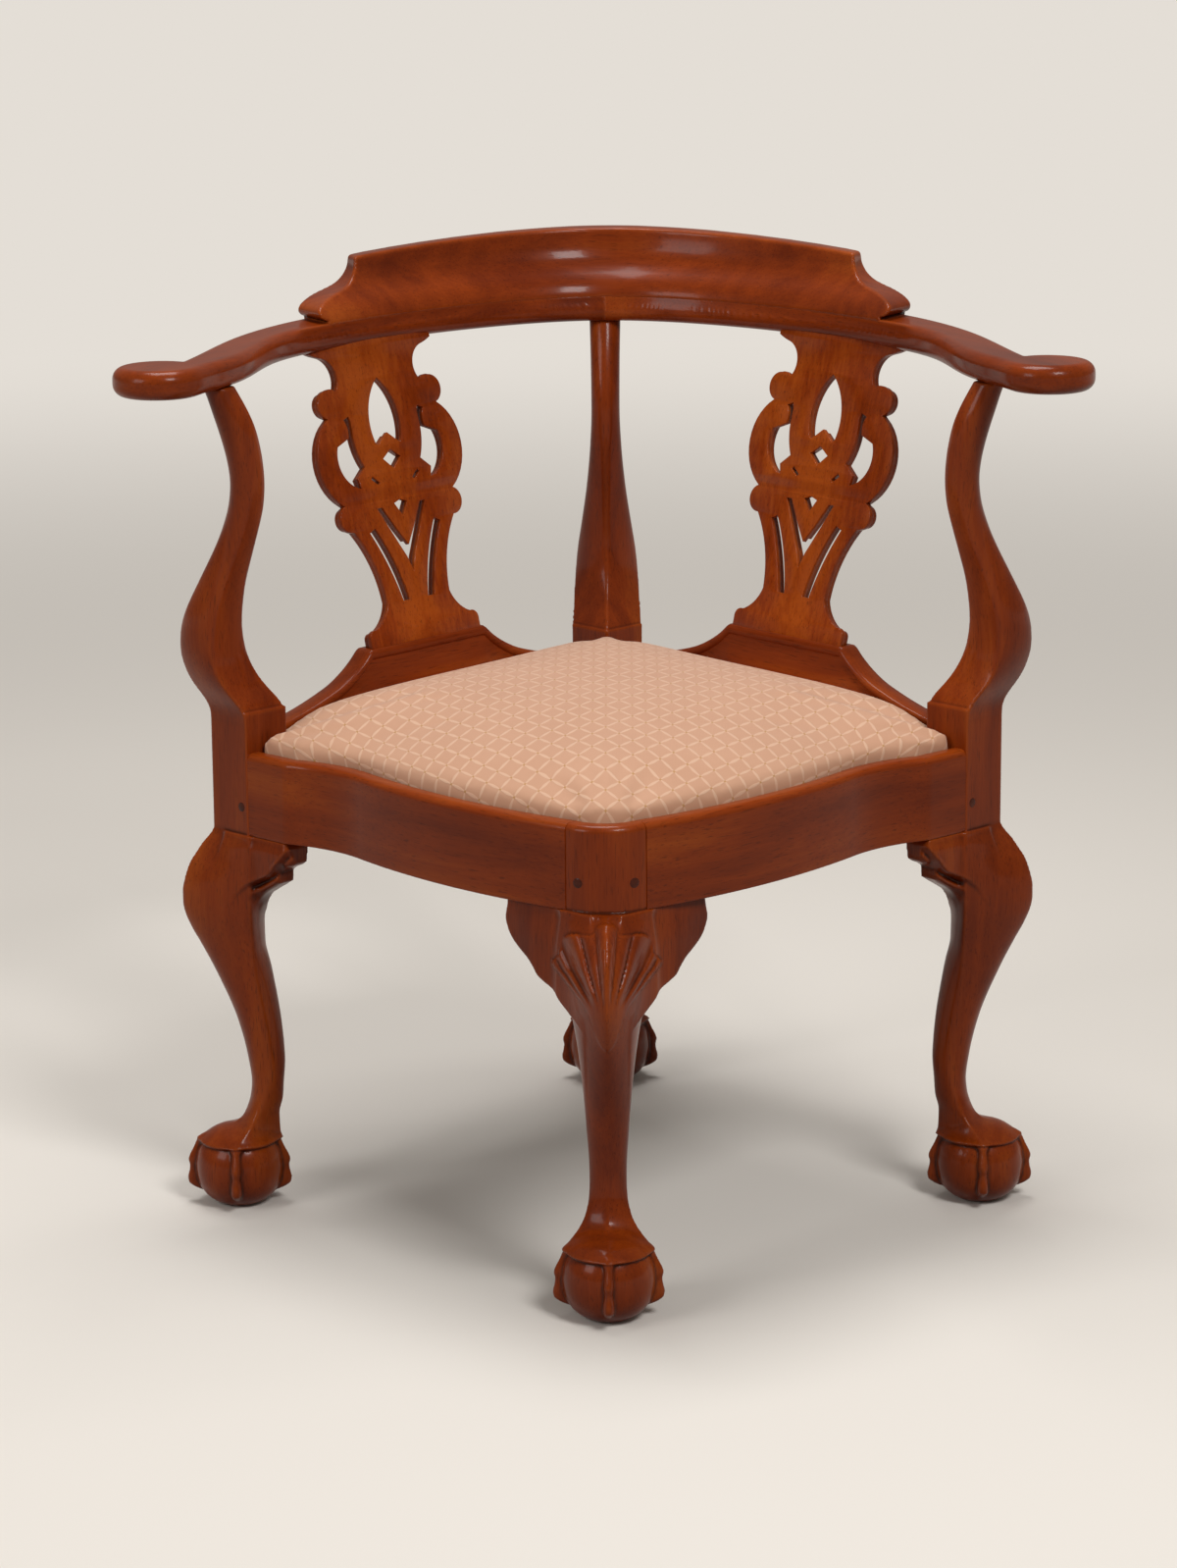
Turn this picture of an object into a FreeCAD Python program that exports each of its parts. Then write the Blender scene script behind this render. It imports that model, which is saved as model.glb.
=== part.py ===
"""Corner chair: four cabriole legs, serpentine front rails, two pierced splats, a two-piece arm
with a crest rail, and a loose upholstered seat. Millimetres, +Z up, +X to the sitter's left,
the front corner towards -Y. The origin is on the floor under the middle of the outline.
"""
import FreeCAD, Part
import math
import os

Vector = FreeCAD.Vector

# Plan of the frame: the centres of the square leg stiles
SIDE_STILE_X = 290.0
FRONT_STILE_Y = -262.0
REAR_STILE_Y = 319.0
STILE = 43.5

# Heights
RAIL_BOTTOM = 320.0
RAIL_TOP = 388.0
BLOCK_TOP = 421.0
ARM_UNDERSIDE = 687.0
ARM_THICK = 23.0
CREST_RISE = 55.0
SHOE_TOP = 445.0

# Rails
RAIL_OUT = 22.0
FRONT_RAIL_IN = -12.0
REAR_RAIL_IN = -20.0
STRAIGHT_END = 64.0
WAIST_AT = 103.0
WAIST_OUT = 13.5
INFLECT_AT = 146.0
INFLECT_OUT = 17.5
BELLY_AT = 265.0
BELLY_OUT = 30.5
FRONT_CORNER_Y = -276.0
FRONT_SEAM_OUT = 0.8
LIP_ROUND = 6.0
LIP_WIDE = 13.0
LEDGE_DEPTH = 16.0
REAR_LEDGE_OUT = -9.0

# Joints
TENON_THICK = 10.0
TENON_LONG = 15.0
TENON_OUT = 3.0
TENON_BELOW = 10.0
TENON_ABOVE = 6.0
CLEARANCE = 0.15
PEG_DIAMETER = 8.0
PEG_LONG = 27.0
PEG_FROM_SHOULDER = 7.5
PEG_UP = 30.0
PEG_PROUD = 0.4

# Glue blocks in the corners of the rails
CORNER_BLOCK_REACH = 78.0
CORNER_BLOCK_BOTTOM = 330.0
CORNER_BLOCK_TOP = 364.0
CORNER_SCREW_AT = 46.0
CORNER_SCREW_BITE = 15.0
CORNER_SCREW_DIAMETER = 4.0
CORNER_SCREW_HEAD = 2.5

# Screws up through the arms into the crest rail
CREST_SCREW_LONG = 42.0
CREST_SCREW_DIAMETER = 5.0
CREST_SCREW_HEAD = 10.0
CREST_SCREW_HEAD_DEEP = 4.0
CREST_SCREW_AT = 62.0
CREST_SCREW_PAST_SPLAT = 24.0

# Legs: (share of the way from ankle to rail, outward reach, inward reach, half width,
# outward place of the widest point, roundness of the section from square to round)
ANKLE_HEIGHT = 72.0
KNEE_SECTIONS = (
    (1.0, 31.0, 31.0, 31.0, 0.0, 1.03),
    (0.915, 46.0, 25.0, 32.0, 0.0, 1.055),
    (0.831, 55.0, 18.0, 33.0, 0.0, 1.12),
    (0.770, 58.0, 13.0, 32.0, 0.0, 1.17),
    (0.706, 56.0, 10.0, 29.5, 0.0, 1.21),
    (0.617, 45.0, 9.2, 25.0, 0.0, 1.28),
    (0.528, 34.0, 14.0, 22.0, 0.0, 1.33),
    (0.435, 23.5, 15.0, 19.3, -1.5, 1.36),
    (0.335, 14.3, 20.5, 17.2, -3.5, 1.38),
    (0.234, 8.3, 21.5, 15.8, -6.0, 1.40),
    (0.133, 5.1, 21.5, 15.0, -8.0, 1.41),
    (0.065, 7.0, 20.5, 17.5, -3.0, 1.33),
    (0.0, 17.0, 16.5, 21.0, 6.0, 1.12),
)
FOOT_OUT = 17.0
BALL_RADIUS = 31.0
BALL_HEIGHT = 30.0
CLAW_PATH = ((9.0, 82.0, 8.5), (21.0, 70.0, 9.0), (31.5, 56.0, 9.5), (35.5, 38.0, 7.5),
             (35.0, 20.0, 6.5), (32.5, 7.0, 4.5))

# Arm posts: (share of the way from block to arm, outward place of the centre, half diagonal)
POST_SECTIONS = (
    (0.0, 0.5, 30.5),
    (0.083, 16.5, 28.3),
    (0.192, 27.2, 26.2),
    (0.297, 25.5, 23.5),
    (0.410, 16.5, 18.5),
    (0.560, 1.0, 14.5),
    (0.707, -5.0, 13.0),
    (0.830, -0.5, 12.4),
    (0.944, 12.0, 12.2),
    (1.019, 15.0, 12.2),
)
POST_HEAD_OUT = 14.0
SIDE_POST_LEAN = -34.0
REAR_POST_LEAN = 9.0
POST_TENON_DIAMETER = 14.0
POST_TENON_LONG = 14.0

# Arm plan, sitter's right half, and its round hand pad
PAD_CENTRE = (-346.0, -78.0)
PAD_RADIUS = 36.5
ARM_INNER = ((-331.0, -88.0), (-309.0, -74.0), (-295.0, -50.0), (-284.0, -20.0),
             (-262.0, 85.0), (-206.0, 181.0), (-106.0, 277.0), (0.0, 320.0))
ARM_OUTER = ((-338.0, -62.0), (-332.0, -38.0), (-304.0, 86.0), (-243.0, 212.0),
             (-140.0, 314.0), (0.0, 374.0))
ARM_ROUND = 8.0

# Crest rail: (height above its seat, set back of the face, half length)
CREST_HALF = 217.0
CREST_SECTIONS = (
    (0.0, 5.0, 256.0),
    (7.0, 3.5, 254.5),
    (14.0, 7.0, 246.0),
    (21.0, 14.0, 231.0),
    (28.0, 20.0, 222.0),
    (38.0, 23.5, 218.5),
    (CREST_RISE, 25.0, CREST_HALF),
)
CREST_BACK_INSET = 3.0
CREST_END_DROP = 13.0
CREST_ARCH_REACH = 277.0

# Splats
SPLAT_THICK = 10.0
SPLAT_ALONG = 206.0
SPLAT_FOOT_OUT = 4.0
SPLAT_HEAD_OUT = 66.0
SPLAT_TONGUE = 8.0
SPLAT_FOOT_HALF = 64.5
SPLAT_HEAD_HALF = 71.0
SPLAT_DRAWN_LENGTH = 249.8
SHOE_FRONT_OUT = -8.0
SHOE_BACK_OUT = 17.0
SHOE_TOP_FRONT_OUT = -3.0
SHOE_TOP_BACK_OUT = 13.0
SHOE_BEAD_LOW = 9.0
SHOE_BEAD_HIGH = 6.0
SHOE_BEAD_PROUD = 1.2
SHOE_COVE_LOW = 26.0
SHOE_COVE_OUT = 2.0
SHOE_END_UP = 18.0
SHOE_END_SHARE = 0.58
SHOE_PAST_SPLAT = 6.0

# Knee blocks: outlines as (distance from the stile's centre, drop below the rail)
KNEE_BLOCK_THICK = 24.0
FRONT_BLOCK = (
    ((0.0, 0.0), (102.0, 0.0)),
    ((102.0, 0.0), (98.0, 20.0), (78.0, 35.0)),
    ((78.0, 35.0), (72.0, 46.0)),
    ((72.0, 46.0), (48.0, 62.0), (36.0, 88.0)),
    ((36.0, 88.0), (0.0, 88.0)),
    ((0.0, 88.0), (0.0, 0.0)),
)
SIDE_BLOCK = (
    ((0.0, 0.0), (61.0, 0.0)),
    ((61.0, 0.0), (63.0, 16.0), (57.0, 31.0)),
    ((57.0, 31.0), (45.0, 37.0)),
    ((45.0, 37.0), (45.0, 44.0), (40.0, 50.0)),
    ((40.0, 50.0), (28.0, 56.0)),
    ((28.0, 56.0), (15.0, 64.0), (8.0, 80.0)),
    ((8.0, 80.0), (0.0, 80.0)),
    ((0.0, 80.0), (0.0, 0.0)),
)

# Loose seat
SEAT_GAP = 1.2
SEAT_FRAME_THICK = 18.0
SEAT_FRAME_WIDE = 52.0
SEAT_FRAME_GAP = 1.3
COVER_THICK = 1.4
CROWN = 40.0
SEAT_LIFT_CLEARANCE = 0.3
WEB_WIDE = 48.0
WEB_THICK = 1.2
SHEET_THICK = 0.8
DUST_COVER_GAP = 3.0
TACK_SHANK = 1.6
TACK_HEAD = 7.0

LEDGE = RAIL_TOP - LEDGE_DEPTH
HALF = STILE / 2.0
DIAGONAL = STILE / math.sqrt(2.0)
ARM_TOP = ARM_UNDERSIDE + ARM_THICK
CREST_TOP = ARM_TOP + CREST_RISE
PLAN_CENTRE_Y = (FRONT_STILE_Y + REAR_STILE_Y) / 2


class RailLine:
    """The line between two stile centres, with places given as along, outward and height."""

    def __init__(self, start, end, outward_turn):
        """Keep the start and end points; outward_turn is +1 where outward is left of the line."""
        self.start = Vector(start[0], start[1], 0)
        run = Vector(end[0], end[1], 0) - self.start
        self.length = run.Length
        self.way = run.normalize()
        self.out = Vector(-self.way.y, self.way.x, 0) * outward_turn

    def at(self, along, out, height=0.0):
        """Return the point this far along the line, this far outward, at this height."""
        point = self.start + self.way * along + self.out * out
        return Vector(point.x, point.y, height)

    def shoulder(self, out, face_normal):
        """Return how far along, at this offset, the first stile's face lies."""
        return (HALF - out * face_normal.dot(self.out)) / face_normal.dot(self.way)

    def last_shoulder(self, out, face_normal):
        """Return how far along, at this offset, the last stile's face lies."""
        return self.length - (HALF + out * face_normal.dot(self.out)) / face_normal.dot(self.way)


SIDE_CENTRE = (-SIDE_STILE_X, 0.0)
FRONT_LINE = RailLine(SIDE_CENTRE, (0.0, FRONT_STILE_Y), -1)
REAR_LINE = RailLine(SIDE_CENTRE, (0.0, REAR_STILE_Y), 1)
ROOT_HALF = math.sqrt(0.5)
FRONT_FACE = Vector(ROOT_HALF, -ROOT_HALF, 0)
REAR_FACE = Vector(ROOT_HALF, ROOT_HALF, 0)


def face_of(runs):
    """Return a flat face bounded by runs of two points (lines) or three points (arcs)."""
    edges = []
    for run in runs:
        if len(run) == 2:
            edges.append(Part.LineSegment(*run).toShape())
        else:
            edges.append(Part.Arc(*run).toShape())
    return Part.Face(Part.Wire(edges))


def polygon(points):
    """Return a flat face through these points."""
    return Part.Face(Part.makePolygon(list(points) + [points[0]]))


def box_between(line, along, out, heights):
    """Return a block that lies along a rail line between pairs of limits."""
    corners = [line.at(a, o, heights[0]) for a, o in
               ((along[0], out[0]), (along[1], out[0]), (along[1], out[1]), (along[0], out[1]))]
    return polygon(corners).extrude(Vector(0, 0, heights[1] - heights[0]))


def stile_prism(centre, bottom, top, grow=0.0):
    """Return a square stile set with its corners to the front, back and sides."""
    reach = DIAGONAL + grow * math.sqrt(2.0)
    x, y = centre
    corners = [Vector(x + reach, y, bottom), Vector(x, y + reach, bottom),
               Vector(x - reach, y, bottom), Vector(x, y - reach, bottom)]
    return polygon(corners).extrude(Vector(0, 0, top - bottom))


def mirrored(shape):
    """Return the shape's mirror image on the other side of the chair."""
    return shape.mirror(Vector(0, 0, 0), Vector(1, 0, 0))


def largest(shape):
    """Return the biggest solid of a cut shape."""
    return max(shape.Solids, key=lambda solid: solid.Volume)


def section_wire(centre, reach_out, reach_in, half_wide, roundness, height):
    """Return a closed section of four arcs, from nearly square on its corners to round."""
    cx, cy = centre
    tips = [(cx + reach_out, cy), (cx, cy + half_wide), (cx - reach_in, cy), (cx, cy - half_wide)]
    edges = []
    for index in range(4):
        x1, y1 = tips[index]
        x2, y2 = tips[(index + 1) % 4]
        mx = cx + ((x1 + x2) / 2 - cx) * roundness
        my = cy + ((y1 + y2) / 2 - cy) * roundness
        arc = Part.Arc(Vector(x1, y1, height), Vector(mx, my, height), Vector(x2, y2, height))
        edges.append(arc.toShape())
    return Part.Wire(edges)


def claw(turn):
    """Return one toe, a tapered finger over the ball, turned about the foot's axis."""
    rings = []
    for index, (reach, height, radius) in enumerate(CLAW_PATH):
        before = CLAW_PATH[max(index - 1, 0)]
        after = CLAW_PATH[min(index + 1, len(CLAW_PATH) - 1)]
        run = Vector(after[0] - before[0], 0, after[1] - before[1])
        ring = Part.Circle(Vector(FOOT_OUT + reach, 0, height), run, radius)
        rings.append(Part.Wire([ring.toShape()]))
    finger = Part.makeLoft(rings, True, False)
    finger.rotate(Vector(FOOT_OUT, 0, 0), Vector(0, 0, 1), turn)
    return finger


def foot():
    """Return the ball gripped by four toes, flat on the floor."""
    ball = Part.makeSphere(BALL_RADIUS, Vector(FOOT_OUT, 0, BALL_HEIGHT))
    toes = [claw(90.0 * quarter) for quarter in range(4)]
    grip = ball.multiFuse(toes)
    below = Part.makeBox(200, 200, 20, Vector(-100, -100, -20))
    return grip.cut(below)


def cabriole():
    """Return the leg below the rail, with the chair's outside towards +X."""
    wires = []
    for share, reach_out, reach_in, half_wide, widest, roundness in KNEE_SECTIONS:
        height = ANKLE_HEIGHT + (RAIL_BOTTOM - ANKLE_HEIGHT) * share
        wires.append(section_wire((widest, 0.0), reach_out - widest, reach_in + widest, half_wide,
                                  roundness, height))
    shank = Part.makeLoft(wires, True, False)
    return shank.fuse(foot())


def smooth(share):
    """Return an eased share from 0 to 1."""
    return share * share * (3 - 2 * share)


def arm_post(lean, radial_lean):
    """Return the curved post above a stile, with a round tenon on its head."""
    wires = []
    for station, offset, half in POST_SECTIONS:
        share = min(station, 1.0)
        centre = (offset + radial_lean * smooth(share), lean * smooth(share))
        roundness = 1.02 + 0.16 * min(share * 3, 1.0)
        height = BLOCK_TOP + (ARM_UNDERSIDE - BLOCK_TOP) * station
        wires.append(section_wire(centre, half, half, half, roundness, height))
    post = Part.makeLoft(wires, True, False)
    above = Part.makeBox(400, 400, 100, Vector(-200, -200, ARM_UNDERSIDE))
    post = post.cut(above)
    head = post_head(lean, radial_lean)
    peg = Part.makeCylinder(POST_TENON_DIAMETER / 2, POST_TENON_LONG + 4.0,
                            Vector(head.x, head.y, ARM_UNDERSIDE - 4.0))
    return post.fuse(peg)


def post_head(lean, radial_lean):
    """Return the centre of a post's head, from its stile's centre, outside towards +X."""
    return Vector(POST_HEAD_OUT + radial_lean, lean, 0)


def set_leg(shape, centre, turn):
    """Return a leg turned to its corner and moved to its stile."""
    placed = shape.copy()
    placed.rotate(Vector(0, 0, 0), Vector(0, 0, 1), turn)
    placed.translate(Vector(centre[0], centre[1], 0))
    return placed


def tenon(line, at_end, grow=0.0):
    """Return a rail tenon at the start or the end of a rail line."""
    inner = HALF - TENON_LONG - grow
    reach = HALF + 8.0
    along = (inner, reach) if not at_end else (line.length - reach, line.length - inner)
    out = (TENON_OUT - TENON_THICK / 2 - grow, TENON_OUT + TENON_THICK / 2 + grow)
    heights = (RAIL_BOTTOM + TENON_BELOW - grow, LEDGE - TENON_ABOVE + grow)
    return box_between(line, along, out, heights)


def rail_peg(line, at_end):
    """Return the round peg through a stile and its tenon."""
    along = HALF - PEG_FROM_SHOULDER
    if at_end:
        along = line.length - along
    start = line.at(along, RAIL_OUT - PEG_PROUD, RAIL_BOTTOM + PEG_UP)
    return Part.makeCylinder(PEG_DIAMETER / 2, PEG_LONG, start, line.out * -1)


def front_rail():
    """Return the serpentine front rail on the sitter's right, with its tenons."""
    line = FRONT_LINE
    near = FRONT_FACE
    last = line.last_shoulder(RAIL_OUT, near)
    z = RAIL_BOTTOM
    runs = [
        (line.at(line.shoulder(RAIL_OUT, near), RAIL_OUT, z), line.at(STRAIGHT_END, RAIL_OUT, z)),
        (line.at(STRAIGHT_END, RAIL_OUT, z), line.at(WAIST_AT, WAIST_OUT, z),
         line.at(INFLECT_AT, INFLECT_OUT, z)),
        (line.at(INFLECT_AT, INFLECT_OUT, z), line.at(BELLY_AT, BELLY_OUT, z),
         line.at(last, RAIL_OUT, z)),
        (line.at(last, RAIL_OUT, z),
         line.at(line.last_shoulder(FRONT_RAIL_IN, near), FRONT_RAIL_IN, z)),
        (line.at(line.last_shoulder(FRONT_RAIL_IN, near), FRONT_RAIL_IN, z),
         line.at(line.shoulder(FRONT_RAIL_IN, near), FRONT_RAIL_IN, z)),
        (line.at(line.shoulder(FRONT_RAIL_IN, near), FRONT_RAIL_IN, z),
         line.at(line.shoulder(RAIL_OUT, near), RAIL_OUT, z)),
    ]
    rail = face_of(runs).extrude(Vector(0, 0, RAIL_TOP - RAIL_BOTTOM))
    lips = [edge for edge in rail.Edges
            if abs(edge.BoundBox.ZMin - RAIL_TOP) < 0.01 and is_outer_edge(line, edge)]
    rail = rail.makeFillet(LIP_ROUND, lips)
    rail = rail.cut(seat_well())
    for at_end in (False, True):
        rail = rail.fuse(tenon(line, at_end))
    return rail


def is_outer_edge(line, edge):
    """Return whether an edge runs along the outer side of a rail."""
    middle = edge.valueAt((edge.FirstParameter + edge.LastParameter) / 2)
    offset = (middle - line.start).dot(line.out)
    return offset > WAIST_OUT - 1.0 and edge.Length > STILE / 2


def rear_rail():
    """Return the straight rear rail on the sitter's right, with its tenons."""
    line = REAR_LINE
    near = REAR_FACE
    corners = [
        line.at(line.shoulder(RAIL_OUT, near), RAIL_OUT, RAIL_BOTTOM),
        line.at(line.last_shoulder(RAIL_OUT, near), RAIL_OUT, RAIL_BOTTOM),
        line.at(line.last_shoulder(REAR_RAIL_IN, near), REAR_RAIL_IN, RAIL_BOTTOM),
        line.at(line.shoulder(REAR_RAIL_IN, near), REAR_RAIL_IN, RAIL_BOTTOM),
    ]
    rail = polygon(corners).extrude(Vector(0, 0, RAIL_TOP - RAIL_BOTTOM))
    rail = rail.cut(seat_well())
    for at_end in (False, True):
        rail = rail.fuse(tenon(line, at_end))
    return rail


def seat_runs(height, shrink, scale=1.0):
    """Return the seat's outline at a height, this much inside the rails' lips.

    scale draws the outline in towards the middle of the seat, for the crown.
    """
    front, rear = FRONT_LINE, REAR_LINE
    lip = LIP_WIDE + shrink
    back = REAR_LEDGE_OUT - shrink
    notch = DIAGONAL + shrink * math.sqrt(2.0)
    middle = Vector(0.0, PLAN_CENTRE_Y, 0)

    def pull(point):
        """Return the point drawn in by the scale and set at the height."""
        flat = middle + (Vector(point.x, point.y, 0) - middle) * scale
        return Vector(flat.x, flat.y, height)

    def other(point):
        """Return the point on the other side of the chair."""
        return Vector(-point.x, point.y, point.z)

    face_start = front.shoulder(RAIL_OUT - lip, FRONT_FACE) + shrink
    start = pull(front.at(face_start, RAIL_OUT - lip))
    straight = pull(front.at(STRAIGHT_END, RAIL_OUT - lip))
    waist = pull(front.at(WAIST_AT, WAIST_OUT - lip))
    inflect = pull(front.at(INFLECT_AT, INFLECT_OUT - lip))
    belly = pull(front.at(BELLY_AT, BELLY_OUT - lip))
    turn = pull(front.at(front.length - HALF, RAIL_OUT + 1.5 - lip))
    nose = pull(Vector(0.0, FRONT_CORNER_Y + lip, 0))
    inner = pull(Vector(-SIDE_STILE_X + notch, 0, 0))
    rear_start = pull(rear.at(rear.shoulder(back, REAR_FACE) + shrink, back))
    rear_end = pull(rear.at(rear.last_shoulder(back, REAR_FACE) - shrink, back))
    tip = pull(Vector(0.0, REAR_STILE_Y - notch, 0))
    left = [
        (tip, rear_end),
        (rear_end, rear_start),
        (rear_start, inner),
        (inner, start),
        (start, straight),
        (straight, waist, inflect),
        (inflect, belly, turn),
    ]
    right = [tuple(other(point) for point in reversed(run)) for run in reversed(left)]
    return left + [(turn, nose, other(turn))] + right


def seat_solid(levels):
    """Return a solid lofted through seat outlines of (height, shrink, scale)."""
    wires = []
    for height, shrink, scale in levels:
        wires.append(face_of(seat_runs(height, shrink, scale)).OuterWire)
    return Part.makeLoft(wires, True, True)


def seat_well():
    """Return the space over the ledges that the loose seat drops into."""
    return face_of(seat_runs(LEDGE, 0.0)).extrude(Vector(0, 0, 60.0))


def crown_levels(inset, lower):
    """Return the cushion's levels from its turned-under edge up to its crown."""
    bottom = LEDGE + SEAT_LIFT_CLEARANCE + inset
    top = RAIL_TOP + CROWN - lower
    edge = SEAT_GAP + inset
    rise = top - RAIL_TOP
    return [
        (bottom, edge + 0.8, 1.0),
        (RAIL_TOP - 2.0, edge, 1.0),
        (RAIL_TOP + rise * 0.34, edge - 0.4, 1.0),
        (RAIL_TOP + rise * 0.56, edge, 0.985),
        (RAIL_TOP + rise * 0.74, edge, 0.93),
        (RAIL_TOP + rise * 0.88, edge, 0.80),
        (RAIL_TOP + rise * 0.96, edge, 0.58),
        (top, edge, 0.30),
    ]


def seat_frame():
    """Return the four half-lapped members of the loose seat's frame."""
    bottom = LEDGE + SEAT_LIFT_CLEARANCE + COVER_THICK + 0.1
    height = Vector(0, 0, SEAT_FRAME_THICK)
    whole = face_of(seat_runs(bottom, SEAT_GAP + COVER_THICK + SEAT_FRAME_GAP)).extrude(height)
    members = []
    reach = SIDE_STILE_X * 2
    for line, in_to in ((FRONT_LINE, FRONT_RAIL_IN), (REAR_LINE, REAR_RAIL_IN)):
        strip = box_between(line, (-reach, reach * 2), (in_to - SEAT_FRAME_WIDE + 12.0, 60.0),
                            (bottom, bottom + SEAT_FRAME_THICK))
        members.append(strip)
    front_left = whole.common(members[0])
    rear_left = whole.common(members[1])
    front_right = mirrored(front_left)
    rear_right = mirrored(rear_left)
    middle = bottom + SEAT_FRAME_THICK / 2
    upper = Part.makeBox(1200, 1200, 40, Vector(-600, -600, middle))
    lower = Part.makeBox(1200, 1200, 40, Vector(-600, -600, middle - 40))
    front_left_cut = largest(front_left.cut(rear_left.common(lower)).cut(front_right.common(upper)))
    rear_left_cut = largest(rear_left.cut(front_left.common(upper)).cut(rear_right.common(lower)))
    front_right_cut = largest(front_right.cut(rear_right.common(lower))
                              .cut(front_left.common(lower)))
    rear_right_cut = largest(rear_right.cut(front_right.common(upper))
                             .cut(rear_left.common(upper)))
    return {
        "seat_frame_front_left": front_left_cut,
        "seat_frame_rear_left": rear_left_cut,
        "seat_frame_front_right": front_right_cut,
        "seat_frame_rear_right": rear_right_cut,
    }


def seat_layers():
    """Return the webbing, hessian, stuffing, cover and dust cover of the loose seat."""
    bottom = LEDGE + SEAT_LIFT_CLEARANCE
    frame_top = bottom + COVER_THICK + 0.1 + SEAT_FRAME_THICK
    inside = SEAT_GAP + COVER_THICK + 6.0
    field = face_of(seat_runs(frame_top, inside)).extrude(Vector(0, 0, 6.0))
    strips = []
    pitch = WEB_WIDE * 1.45
    count = 7
    for index in range(count):
        centre = (index - (count - 1) / 2) * pitch
        along_y = Part.makeBox(WEB_WIDE, 900, WEB_THICK,
                               Vector(centre - WEB_WIDE / 2, -450, frame_top + 0.1))
        middle_y = PLAN_CENTRE_Y + centre
        along_x = Part.makeBox(900, WEB_WIDE, WEB_THICK,
                               Vector(-450, middle_y - WEB_WIDE / 2, frame_top + 0.2 + WEB_THICK))
        for strip in (along_y, along_x):
            piece = strip.common(field)
            strips.extend(solid for solid in piece.Solids if solid.Volume > 500)
    hessian_bottom = frame_top + 0.3 + 2 * WEB_THICK
    hessian = face_of(seat_runs(hessian_bottom, inside)).extrude(Vector(0, 0, SHEET_THICK))
    outer = seat_solid(crown_levels(0.0, 0.0))
    room = seat_solid(crown_levels(COVER_THICK, COVER_THICK))
    underside = face_of(seat_runs(bottom - 1.0, SEAT_GAP + 26.0, 1.0)).extrude(Vector(0, 0, 8.0))
    cover = outer.cut(room).cut(underside)
    stuffing_floor = hessian_bottom + SHEET_THICK + 0.1
    filling = seat_solid(crown_levels(COVER_THICK + 0.3, COVER_THICK + 0.3))
    below = Part.makeBox(1200, 1200, 200, Vector(-600, -600, stuffing_floor - 200))
    stuffing = filling.cut(below)
    dust_cover = inside_rails(bottom - SHEET_THICK - 0.1, DUST_COVER_GAP, SHEET_THICK)
    return {
        "seat_webbing": Part.makeCompound(strips),
        "seat_hessian": hessian,
        "seat_stuffing": largest(stuffing),
        "seat_cover": largest(cover),
        "seat_dust_cover": dust_cover,
    }


def inside_rails(height, gap, thick):
    """Return a flat sheet that fills the space between the rails, a gap short of them."""
    places = corner_places()
    apexes = {name: apex for name, centre, apex, first, second in places}
    middle = Vector(0, PLAN_CENTRE_Y, 0)
    corners = []
    for name in ("front_corner_block", "left_corner_block", "rear_corner_block"):
        inward = middle - apexes[name]
        corners.append(apexes[name] + inward.normalize() * gap * math.sqrt(2.0))
    corners.append(flipped(corners[1]))
    sheet = polygon([Vector(point.x, point.y, height) for point in corners])
    sheet = sheet.extrude(Vector(0, 0, thick))
    for name, centre, apex, first, second in places:
        stile = stile_prism(centre, height - 1, height + thick + 1, gap)
        sheet = sheet.cut([stile, mirrored(stile)])
    return sheet


def seat_tacks():
    """Return the tacks that hold the covers under the seat frame."""
    tacks = []
    top = LEDGE + SEAT_LIFT_CLEARANCE - SHEET_THICK - 0.1
    for line, out in ((FRONT_LINE, FRONT_RAIL_IN - 16.0), (REAR_LINE, REAR_RAIL_IN - 12.0)):
        steps = 7
        for index in range(steps):
            along = line.length * (0.2 + 0.6 * index / (steps - 1))
            place = line.at(along, out, top)
            shank = Part.makeCylinder(TACK_SHANK / 2, 11.0, place)
            head = Part.makeCylinder(TACK_HEAD / 2, 1.0, place - Vector(0, 0, 1.0))
            tack = shank.fuse(head)
            tacks.extend([tack, mirrored(tack)])
    return tacks


def arm():
    """Return the arm on the sitter's right, from its hand pad to the middle of the back."""
    z = ARM_UNDERSIDE

    def at(pair):
        """Return a plan point at the arm's underside."""
        return Vector(pair[0], pair[1], z)

    inner = arm_edge(ARM_INNER, z)
    outer = arm_edge(ARM_OUTER, z)
    ends = [
        Part.LineSegment(outer.EndPoint, inner.EndPoint).toShape(),
        Part.LineSegment(inner.StartPoint, outer.StartPoint).toShape(),
    ]
    wire = Part.Wire(Part.__sortEdges__([inner.toShape(), outer.toShape()] + ends))
    body = Part.Face(wire).extrude(Vector(0, 0, ARM_THICK))
    rounds = [edge for edge in body.Edges
              if edge.BoundBox.ZLength < 0.01 and edge.BoundBox.YLength > 200.0]
    body = body.makeFillet(ARM_ROUND, rounds)
    body = body.cut(Part.makeBox(400, 600, 100, Vector(0, 0, ARM_UNDERSIDE - 20)))
    pad = Part.makeCylinder(PAD_RADIUS, ARM_THICK, at(PAD_CENTRE))
    rims = [edge for edge in pad.Edges if edge.BoundBox.ZLength < 0.01]
    pad = pad.makeFillet(ARM_ROUND, rims)
    body = body.fuse(pad)
    for hole in post_holes():
        body = body.cut(hole)
    for screw in crest_screws(CLEARANCE):
        body = body.cut(screw)
    return body


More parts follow.
